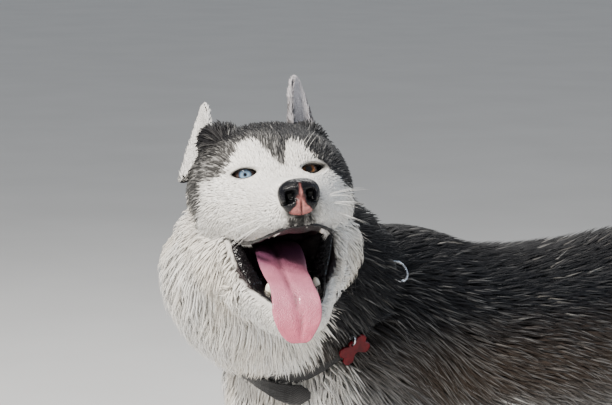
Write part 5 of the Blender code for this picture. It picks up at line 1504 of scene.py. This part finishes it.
def eye_material(side):
    """An eye: pupil, iris with radial fibres and a dark rim, and the white beyond, under a clear wet coat; a painted
    shadow of the upper lid darkens its top.
    """
    made, tree, surface = shader("eye_" + side, Roughness=0.12, Coat_Weight=0.7, Coat_Roughness=0.02)
    surface.inputs["Specular IOR Level"].default_value = 0.2
    spot = node(tree, "UVMap", uv_map="Iris").outputs["UV"]
    reach = node(tree, "VectorMath", {0: spot}, operation="LENGTH").outputs["Value"]
    heading = node(tree, "VectorMath", {0: spot}, operation="NORMALIZE").outputs["Vector"]
    wide = node(tree, "VectorMath", {0: heading, 1: (5.0, 5.0, 5.0)}, operation="MULTIPLY").outputs["Vector"]
    fibres = node(tree, "TexNoise", {"Vector": wide, "Scale": 3.0, "Detail": 6.0, "Roughness": 0.7}).outputs["Fac"]
    blotch = node(tree, "TexNoise", {"Vector": spot, "Scale": 6.0, "Detail": 2.0}).outputs["Fac"]
    uneven = maths(tree, "MULTIPLY_ADD", fibres, 0.10, maths(tree, "ADD", reach, -0.05))
    iris = ramp(tree, uneven, IRIS[side])
    streaks = ramp(tree, fibres, ((0.35, (0.62, 0.62, 0.62)), (0.62, (1.30, 1.30, 1.30))))
    painted_iris = mixed(tree, "MULTIPLY", 0.85, iris, streaks)
    soft = ramp(tree, blotch, ((0.35, (0.80, 0.80, 0.80)), (0.65, (1.15, 1.15, 1.15))))
    mottled = mixed(tree, "MULTIPLY", 0.6, painted_iris, soft)
    # Painted shadow of the upper lid: the ball is darkened towards its top
    height = node(tree, "SeparateXYZ", {0: spot}).outputs["Y"]
    shade = ramp(tree, maths(tree, "ADD", height, 0.5), ((0.52, (1.0, 1.0, 1.0)), (0.86, (0.22, 0.22, 0.24))))
    tree.links.new(mixed(tree, "MULTIPLY", 1.0, mottled, shade), surface.inputs["Base Color"])
    return made


# Iris colours by hundredths of a metre from the middle of the pupil
IRIS = {
    "left": (
        (0.00, (0.002, 0.002, 0.002)),
        (0.25, (0.002, 0.002, 0.002)),
        (0.29, (0.040, 0.014, 0.004)),
        (0.46, (0.300, 0.105, 0.018)),
        (0.60, (0.150, 0.048, 0.010)),
        (0.66, (0.008, 0.004, 0.003)),
        (0.80, (0.030, 0.022, 0.018)),
    ),
    "right": (
        (0.00, (0.002, 0.002, 0.003)),
        (0.135, (0.003, 0.003, 0.005)),
        (0.165, (0.070, 0.120, 0.190)),
        (0.27, (0.220, 0.320, 0.420)),
        (0.44, (0.130, 0.225, 0.345)),
        (0.54, (0.020, 0.040, 0.075)),
        (0.64, (0.034, 0.020, 0.016)),
    ),
}


def horn_material():
    """Claw horn: dark with streaks, polished."""
    made, tree, surface = shader("horn", Roughness=0.30, Coat_Weight=0.3, Coat_Roughness=0.2)
    spot = place(tree)
    grain = node(tree, "TexNoise", {"Vector": spot, "Scale": 260.0, "Detail": 3.0}).outputs["Fac"]
    shade = ramp(tree, grain, ((0.3, (0.020, 0.016, 0.014)), (0.7, (0.075, 0.058, 0.048))))
    tree.links.new(shade, surface.inputs["Base Color"])
    bumped(tree, surface, grain, 0.0002)
    return made


def ivory_material():
    """Teeth: ivory, yellower in patches, glossy and wet."""
    made, tree, surface = shader("ivory", Roughness=0.22, Coat_Weight=0.7, Coat_Roughness=0.08)
    grain = node(tree, "TexNoise", {"Vector": place(tree), "Scale": 120.0, "Detail": 3.0}).outputs["Fac"]
    shade = ramp(tree, grain, ((0.35, (0.62, 0.53, 0.36)), (0.60, (0.80, 0.76, 0.66))))
    tree.links.new(shade, surface.inputs["Base Color"])
    bumped(tree, surface, grain, 0.0002)
    return made


def webbing_material():
    """Woven strap: twill ribs that cross, dark grey, with worn lighter threads."""
    made, tree, surface = shader("webbing", Roughness=0.78, Sheen_Weight=0.2, Sheen_Roughness=0.5)
    spot = place(tree, COLLAR)
    first = node(tree, "TexWave", {"Vector": spot, "Scale": 330.0, "Distortion": 0.6}, bands_direction="DIAGONAL")
    second = node(tree, "TexWave", {"Vector": spot, "Scale": 300.0, "Distortion": 0.6}, bands_direction="Z")
    ribs = maths(tree, "MULTIPLY", first.outputs["Fac"], second.outputs["Fac"])
    wear = node(tree, "TexNoise", {"Vector": spot, "Scale": 90.0, "Detail": 4.0}).outputs["Fac"]
    thread = ramp(tree, ribs, ((0.0, (0.006, 0.006, 0.007)), (0.9, (0.040, 0.040, 0.043))))
    worn = ramp(tree, wear, ((0.4, (0.85, 0.85, 0.85)), (0.7, (1.35, 1.32, 1.28))))
    tree.links.new(mixed(tree, "MULTIPLY", 1.0, thread, worn), surface.inputs["Base Color"])
    bumped(tree, surface, ribs, 0.0004)
    return made


def steel_material():
    """Steel wire: brushed, with small stains."""
    made, tree, surface = shader("steel", Metallic=1.0, Roughness=0.28)
    spot = place(tree)
    grain = node(tree, "TexNoise", {"Vector": spot, "Scale": 700.0, "Detail": 4.0}).outputs["Fac"]
    stain = node(tree, "TexNoise", {"Vector": spot, "Scale": 120.0, "Detail": 2.0}).outputs["Fac"]
    colour = ramp(tree, stain, ((0.35, (0.42, 0.44, 0.48)), (0.65, (0.66, 0.68, 0.72))))
    tree.links.new(colour, surface.inputs["Base Color"])
    tree.links.new(maths(tree, "MULTIPLY_ADD", grain, 0.25, 0.16), surface.inputs["Roughness"])
    bumped(tree, surface, grain, 0.00005)
    return made


def enamel_material():
    """Red enamel: a clear coat over a slightly uneven red."""
    made, tree, surface = shader("enamel", Roughness=0.30, Coat_Weight=0.05, Coat_Roughness=0.08)
    spot = place(tree)
    cloud = node(tree, "TexNoise", {"Vector": spot, "Scale": 160.0, "Detail": 3.0}).outputs["Fac"]
    colour = ramp(tree, cloud, ((0.30, (0.060, 0.0001, 0.0026)), (0.70, (0.130, 0.0001, 0.0052))))
    surface.inputs["Specular IOR Level"].default_value = 0.20
    tree.links.new(colour, surface.inputs["Base Color"])
    bumped(tree, surface, cloud, 0.0003)
    return made


def floor_material():
    """A plain pale floor with the faintest mottling."""
    made, tree, surface = shader("floor", Roughness=0.9)
    cloud = node(tree, "TexNoise", {"Vector": place(tree), "Scale": 3.0, "Detail": 2.0}).outputs["Fac"]
    colour = ramp(tree, cloud, ((0.3, (0.70, 0.70, 0.69)), (0.7, (0.74, 0.74, 0.73))))
    tree.links.new(colour, surface.inputs["Base Color"])
    return made


def dressed(obj, material):
    """Gives a piece its material and its place on the body."""
    obj.data.materials.clear()
    obj.data.materials.append(material)
    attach(obj, "root")
    return obj


def flat_colour(obj, colour, scale=0.004, amount=0.15):
    """One colour with a slight mottling as an object's point colours."""
    points = points_of(obj)
    return painted(obj, np.array(colour)[None] * (1 + amount * noise(points, scale, 14))[:, None])


FLESH = ("head", "neck", "torso", "tail_root", "tail_plume", *("leg_" + name for name in STRIDE))


class HuskySkin(bpy.types.PropertyGroup):
    """Sizes of the skin and the face."""

    grain: bpy.props.FloatProperty(
        name="Grain",
        description="Size of the cells that the forms are fused with",
        default=SKIN_GRAIN,
        min=0.0025,
        unit="LENGTH",
    )
    lip_breadth: bpy.props.FloatProperty(
        name="Lower lip",
        description="Breadth of the lower lip's dark band",
        default=LOWER_LIP_BREADTH,
        unit="LENGTH",
    )


class HuskyCoat(bpy.types.PropertyGroup):
    """Density and length of the coat."""

    spacing: bpy.props.FloatProperty(
        name="Spacing",
        description="Scale of the distance between tufts",
        default=1.0,
        min=0.8,
        max=4.0,
    )
    length: bpy.props.FloatProperty(
        name="Length",
        description="Scale of the hair's length",
        default=1.0,
        min=0.5,
        max=1.5,
    )
    seed: bpy.props.IntProperty(
        name="Seed",
        description="Start of the random numbers",
        default=7,
    )


class HuskyStage(bpy.types.PropertyGroup):
    """Camera and lights."""

    lens: bpy.props.FloatProperty(
        name="Lens",
        description="Focal length for a 36 mm wide sensor",
        default=147.5,
    )
    azimuth: bpy.props.FloatProperty(
        name="Azimuth",
        description="The camera's angle round the model from its front towards its left",
        default=math.radians(60.0),
        subtype="ANGLE",
    )
    elevation: bpy.props.FloatProperty(
        name="Elevation",
        description="The camera's angle above the level",
        default=math.radians(8.0),
        subtype="ANGLE",
    )


class HUSKY_OT_skin(bpy.types.Operator):
    """Builds the skin that stands for all the parts of flesh"""

    bl_idname = "husky.skin"
    bl_label = "Skin"

    def execute(self, context):
        skin = body_skin()
        points = points_of(skin)
        label = regions(points)[0]
        root, tip = coat_colours(points, label)
        # Painted shade: the skin between the tufts takes the coat's colours at 0.72 of their brightness
        colours = 0.72 * (0.6 * root + 0.4 * tip)
        normals = array_of(skin.data.vertex_normals, "vector", 3).astype(float)
        wet = in_mouth(points, 0.0060) | within_lips(points)
        wet |= cheek_lining(points, normals, np.minimum(*lip_gap(points))) | between_jaws(points)
        wet |= under_lip(points, normals)
        # The wet lining of the mouth is painted near black: its own dark colour deepened by painted shade
        colours[wet] = np.array((0.011, 0.0055, 0.0065))
        painted(skin, colours)
        skin.data.attributes.new("Wet", "FLOAT", "POINT").data.foreach_set("value", wet.astype(np.float32))
        dressed(skin, skin_material())
        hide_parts(*FLESH)
        return {"FINISHED"}


class HUSKY_OT_ears(bpy.types.Operator):
    """Builds both ears and the short coat on them"""

    bl_idname = "husky.ears"
    bl_label = "Ears"

    def execute(self, context):
        coat = context.scene.husky_coat
        random = np.random.default_rng(coat.seed + 1)
        hair = bpy.data.materials.get("hair") or hair_material()
        for index, side in enumerate(SIDES):
            rows = ear_rows(side)
            ear = loft("ear_shell_" + side, rows, HEAD_AT)
            painted(ear, ear_colours(ear, side, rows.shape[1]))
            ear.data.attributes.new("Wet", "FLOAT", "POINT")
            dressed(ear, bpy.data.materials["skin"])
            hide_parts("ear_" + side)
            roots, normals = strewn(ear, lambda points: np.full(len(points), 0.0012 * coat.spacing), random)
            pieces = self.hair(ear, side, roots, normals, random, index)
            dressed(pieces, hair)
        return {"FINISHED"}

    def hair(self, ear, side, roots, normals, random, index):
        """Hair that runs up the ear to its tip, longer inside."""
        base, up, across, out = ear_axes(side)
        local = to_local(roots, HEAD_AT)
        height = ((local - base) @ up) / np.linalg.norm(np.array(EARS[side][2]) - base)
        turn = np.array(HEAD_AT.to_3x3())
        inward = (normals * (turn @ out)).sum(axis=1) > 0.1
        edge = turn @ across
        lie = (turn @ up) + 0.5 * edge * np.sign((normals * edge).sum(axis=1, keepdims=True))
        lie = lie + 0.25 * random.normal(0, 1, (len(roots), 3))
        lie = unit(lie - normals * (lie * normals).sum(axis=1, keepdims=True))
        length = np.where(inward, 0.013, 0.0085) * (1 - 0.35 * np.clip(height, 0, 1)) * random.uniform(0.8, 1.2, len(roots))
        depth = np.where(inward, 0.0036, 0.0020)
        width = np.full(len(roots), 0.0012)
        # The left ear's pale hair is painted grey: a painted shade of white hair
        pale_or_painted_shade = WHITE * 0.85 if side == "right" else np.array((0.44, 0.42, 0.44))
        dark = BLACK * 1.6 if side == "right" else np.array((0.36, 0.34, 0.34))
        colour = np.where(inward[:, None], pale_or_painted_shade[None], dark[None])
        low = step(0.34, 0.04, height + 0.14 * random.normal(0, 1, len(roots)))
        colour = blend(colour, (BLACK * 2)[None], low * np.where(inward, 0.15 if side == "right" else 0.45, 0.8))
        shape, out = tuft_rings(ear, roots, normals, lie, length, depth, width, random, 2)
        charts = chart_places(np.full(len(roots), 9 + index), np.clip(height, 0, 1), np.arctan2(*(normals @ np.eye(3)[:2].T).T))
        return coat_piece("coat_ear_" + side, shape, shaded_hair(colour, colour * 1.1, 2, random), charts, out, 2)


class HUSKY_OT_eyes(bpy.types.Operator):
    """Builds the eyeballs and the eyelids"""

    bl_idname = "husky.eyes"
    bl_label = "Eyes"

    def execute(self, context):
        skin = bpy.data.objects["skin"]
        rim = wet_material("lid", 900.0, 0.00025, 0.35, 0.5, 0.25)
        for side in SIDES:
            ball = eye_ball(side)
            dressed(ball, eye_material(side))
            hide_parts("eye_" + side)
            dressed(lids(skin, side), rim)
        return {"FINISHED"}


class HUSKY_OT_mouth(bpy.types.Operator):
    """Builds the lips, the teeth and the tongue"""

    bl_idname = "husky.mouth"
    bl_label = "Mouth"

    def execute(self, context):
        lip = wet_material("lip", 420.0, 0.0007, 0.24, 0.10, 0.30, 0.25)
        for piece in (upper_lip(), lower_lip()):
            flat_colour(piece, (0.0060, 0.0052, 0.0060), 0.005, 0.4)
            dressed(piece, lip)
        ivory = ivory_material()
        for row in (("upper_teeth", UPPER_TEETH, -1, HEAD_AT), ("lower_teeth", LOWER_TEETH, 1, JAW_AT)):
            dressed(tooth_row(*row), ivory)
        flesh = tongue()
        painted(flesh, tongue_colours(flesh))
        dressed(flesh, wet_material("tongue", 1050.0, 0.00045, 0.38, 0.45, 0.14))
        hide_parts("tongue")
        return {"FINISHED"}


class HUSKY_OT_nose(bpy.types.Operator):
    """Builds the nose pad with its nostrils"""

    bl_idname = "husky.nose"
    bl_label = "Nose"

    def execute(self, context):
        pad = nose_pad()
        painted(pad, nose_colours(pad))
        dressed(pad, wet_material("nose", 820.0, 0.0004, 0.17, 0.05, 0.2, 0.22))
        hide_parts("nose")
        return {"FINISHED"}


class HUSKY_OT_small(bpy.types.Operator):
    """Builds the claws and the whiskers"""

    bl_idname = "husky.small"
    bl_label = "Claws and whiskers"

    def execute(self, context):
        random = np.random.default_rng(context.scene.husky_coat.seed + 2)
        dressed(claws(), horn_material())
        hairs = whiskers(bpy.data.objects["skin"], random)
        flat_colour(hairs, (0.80, 0.79, 0.76), 0.010, 0.1)
        dressed(hairs, bpy.data.materials.get("hair") or hair_material())
        return {"FINISHED"}


class HUSKY_OT_collar(bpy.types.Operator):
    """Dresses the collar, its end, its rings and the tag"""

    bl_idname = "husky.collar"
    bl_label = "Collar"

    def execute(self, context):
        steel = steel_material()
        for name in ("collar_ring", "tag_ring"):
            ring = fitted_ring("wire_" + name, name)
            dressed(ring, steel)
            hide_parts(name)
        webbing = webbing_material()
        enamel = enamel_material()
        for name, material in (("collar", webbing), ("collar_end", webbing), ("tag", enamel)):
            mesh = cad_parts[name].data
            mesh.materials.clear()
            mesh.materials.append(material)
        return {"FINISHED"}


class HUSKY_OT_coat(bpy.types.Operator):
    """Covers the skin with overlapping tufts that follow the lie of the coat"""

    bl_idname = "husky.coat"
    bl_label = "Coat"

    def execute(self, context):
        coat = context.scene.husky_coat
        skin = bpy.data.objects["skin"]
        random = np.random.default_rng(coat.seed)
        scale = coat.spacing * 1.0
        roots, normals = strewn(skin, lambda points: spaced(points) * scale, random)
        below, above = lip_gap(roots)
        bare = in_mouth(roots, 0.0040) | within_lips(roots) | (eye_gap(roots) < 0.0030)
        nose = to_local(roots, HEAD_AT)
        bare |= (below < np.where(nose[:, 0] < 0, 0.0085, 0.0050)) | (above < 0.0016)
        bare |= cheek_lining(roots, normals, np.minimum(below, above)) | under_lip(roots, normals)
        bare |= (nose[:, 1] < -0.0955) & (np.abs(nose[:, 0]) < 0.0165) & (np.abs(nose[:, 2] + 0.032) < 0.0150)
        roots, normals, below, above = roots[~bare], normals[~bare], below[~bare], above[~bare]
        label, along, turn = regions(roots)
        lie, sizes = styled(roots, normals)
        length, depth, width = sizes.T * (scale ** 0.5)
        length = length * coat.length * random.uniform(0.78, 1.18, len(roots))
        depth = depth / scale ** 0.5 * random.uniform(0.70, 1.12, len(roots))
        near_eye = step(0.0, 0.012, eye_gap(roots) - 0.002)
        near_lip = step(0.006, 0.034, below)
        near_lip = np.minimum(near_lip, step(-0.004, 0.016, above))
        length = length * (0.40 + 0.60 * near_eye) * (0.30 + 0.70 * near_lip)
        depth = depth * (0.35 + 0.65 * near_eye) * (0.40 + 0.60 * near_lip)
        length, depth = self.under_collar(roots, lie, length, depth)
        tips = roots + lie * length[:, None] + normals * (0.5 * depth)[:, None]
        inside = between_jaws(tips) | between_jaws((roots + tips) / 2)
        length = np.where(inside, 0.0010, length)
        depth = np.where(inside, 0.0001, depth)
        seen = roots + lie * (0.55 * length)[:, None] + normals * depth[:, None]
        root, tip = coat_colours(seen, label, random.uniform(-1.0, 1.0, len(roots)))
        long_hair = (label == 2) | (label == 4)
        hair = bpy.data.materials.get("hair") or hair_material()
        made = 0
        for rounds, chosen in ((3, long_hair), (2, ~long_hair)):
            picked = np.flatnonzero(chosen)
            shape, out = tuft_rings(
                skin, roots[picked], normals[picked], lie[picked], length[picked], depth[picked], width[picked],
                random, rounds,
            )
            colours = shaded_hair(root[picked], tip[picked], rounds, random)
            charts = chart_places(label[picked], along[picked], turn[picked])
            order = np.lexsort((picked, label[picked]))
            share = 190000 // len(tuft_faces(rounds))
            for start in range(0, len(order), share):
                part = order[start:start + share]
                name = f"coat_{made:02d}_{REGIONS[label[picked[part[0]]]]}"
                piece = coat_piece(name, shape[part], colours[part], charts[part], out[part], rounds)
                dressed(piece, hair)
                made += 1
        return {"FINISHED"}

    def under_collar(self, roots, lie, length, depth):
        """Hair under the collar is pressed flat, and in front of its lower half it ends at the collar."""
        local = to_local(roots, COLLAR)
        axial = local[:, 2]
        near = step(0.045, 0.020, np.abs(collar_gap(roots)[1]))
        pressed = near * step(0.017, 0.011, np.abs(axial))
        depth = depth * (1 - pressed) + np.minimum(depth, 0.012) * pressed
        length = length * (1 - pressed) + np.minimum(length, 0.020) * pressed
        turn = np.degrees(np.arctan2(local[:, 1], local[:, 0]))
        shown = step(-20.0, -32.0, turn) * step(-178.0, -160.0, turn) * near
        fall = np.maximum(-(lie @ np.array(COLLAR.to_3x3())[:, 2]), 0.2)
        reach = np.clip((axial + 0.008) / fall, 0.012, 0.2)
        ahead = shown * step(0.004, 0.010, axial)
        return np.where(ahead > 0.5, np.minimum(length, reach), length), depth


class HUSKY_OT_stage(bpy.types.Operator):
    """Sets up the floor, the lights and the camera"""

    bl_idname = "husky.stage"
    bl_label = "Stage"

    def execute(self, context):
        stage = context.scene.husky_stage
        floor = mesh_object(
            "floor",
            np.array(((-60.0, -60.0, 0.0), (60.0, -60.0, 0.0), (60.0, 60.0, 0.0), (-60.0, 60.0, 0.0))),
            np.array(((0, 1, 2, 3),)),
            smooth=False,
        )
        floor.data.materials.append(floor_material())
        c, s = math.cos(stage.elevation), math.sin(stage.elevation)
        back = Vector((math.sin(stage.azimuth) * c, -math.cos(stage.azimuth) * c, s))
        lens = bpy.data.cameras.new("camera")
        lens.lens = stage.lens
        lens.sensor_width = 36.0
        camera = bpy.data.objects.new("camera", lens)
        camera.location = CAMERA_AT + Vector(SHIFT)
        camera.rotation_euler = back.to_track_quat("Z", "Y").to_euler()
        context.scene.collection.objects.link(camera)
        context.scene.camera = camera
        target = Vector(SHIFT) + BETWEEN_EYES
        for name, place_at, size, power, colour in LIGHTS:
            light = bpy.data.lights.new(name, "AREA")
            light.size = size
            light.energy = power
            light.color = colour
            lamp = bpy.data.objects.new(name, light)
            lamp.location = target + Vector(place_at)
            lamp.rotation_euler = Vector(place_at).to_track_quat("Z", "Y").to_euler()
            context.scene.collection.objects.link(lamp)
        world = bpy.data.worlds.new("studio")
        world.use_nodes = True
        world.node_tree.nodes["Background"].inputs["Color"].default_value = (0.90, 0.94, 1.0, 1.0)
        world.node_tree.nodes["Background"].inputs["Strength"].default_value = 0.40
        context.scene.world = world
        return {"FINISHED"}


# The camera in the animal's frame, and lights by place from the head, size in metres, power and colour
CAMERA_AT = Vector((2.153, -1.355, 0.947))
LIGHTS = (
    ("key", (0.9, -2.1, 1.9), 0.6, 262.0, (1.0, 0.94, 0.86)),
    ("fill", (1.2, 2.6, 1.0), 1.4, 22.0, (0.66, 0.81, 1.0)),
    ("back", (-1.6, 1.4, 1.8), 1.2, 50.0, (1.0, 0.98, 0.95)),
    ("glint", (0.95, -1.0, 0.8), 0.10, 3.0, (1.0, 0.98, 0.95)),
)


class HUSKY_PT_panel(bpy.types.Panel):
    """Settings and steps of the husky"""

    bl_idname = "HUSKY_PT_panel"
    bl_label = "Husky"
    bl_space_type = "VIEW_3D"
    bl_region_type = "UI"
    bl_category = "Husky"

    def draw(self, context):
        layout = self.layout
        for group in (context.scene.husky_skin, context.scene.husky_coat, context.scene.husky_stage):
            box = layout.box()
            for name in group.__annotations__:
                box.prop(group, name)
        for step_class in STEPS:
            layout.operator(step_class.bl_idname)


GROUPS = (("husky_skin", HuskySkin), ("husky_coat", HuskyCoat), ("husky_stage", HuskyStage))
STEPS = (
    HUSKY_OT_stage,
    HUSKY_OT_skin,
    HUSKY_OT_ears,
    HUSKY_OT_eyes,
    HUSKY_OT_mouth,
    HUSKY_OT_nose,
    HUSKY_OT_small,
    HUSKY_OT_collar,
    HUSKY_OT_coat,
)


def register():
    """Registers the settings, the steps and the panel."""
    for name, group in GROUPS:
        bpy.utils.register_class(group)
        setattr(bpy.types.Scene, name, bpy.props.PointerProperty(type=group))
    for item in (*STEPS, HUSKY_PT_panel):
        bpy.utils.register_class(item)


def unregister():
    """Takes the panel, the steps and the settings away again."""
    for item in reversed((*STEPS, HUSKY_PT_panel)):
        bpy.utils.unregister_class(item)
    for name, group in reversed(GROUPS):
        delattr(bpy.types.Scene, name)
        bpy.utils.unregister_class(group)


def main():
    """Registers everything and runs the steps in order."""
    register()
    bpy.ops.husky.stage()
    bpy.ops.husky.skin()
    bpy.ops.husky.ears()
    bpy.ops.husky.eyes()
    bpy.ops.husky.mouth()
    bpy.ops.husky.nose()
    bpy.ops.husky.small()
    bpy.ops.husky.collar()
    bpy.ops.husky.coat()


if __name__ == "__main__":
    main()
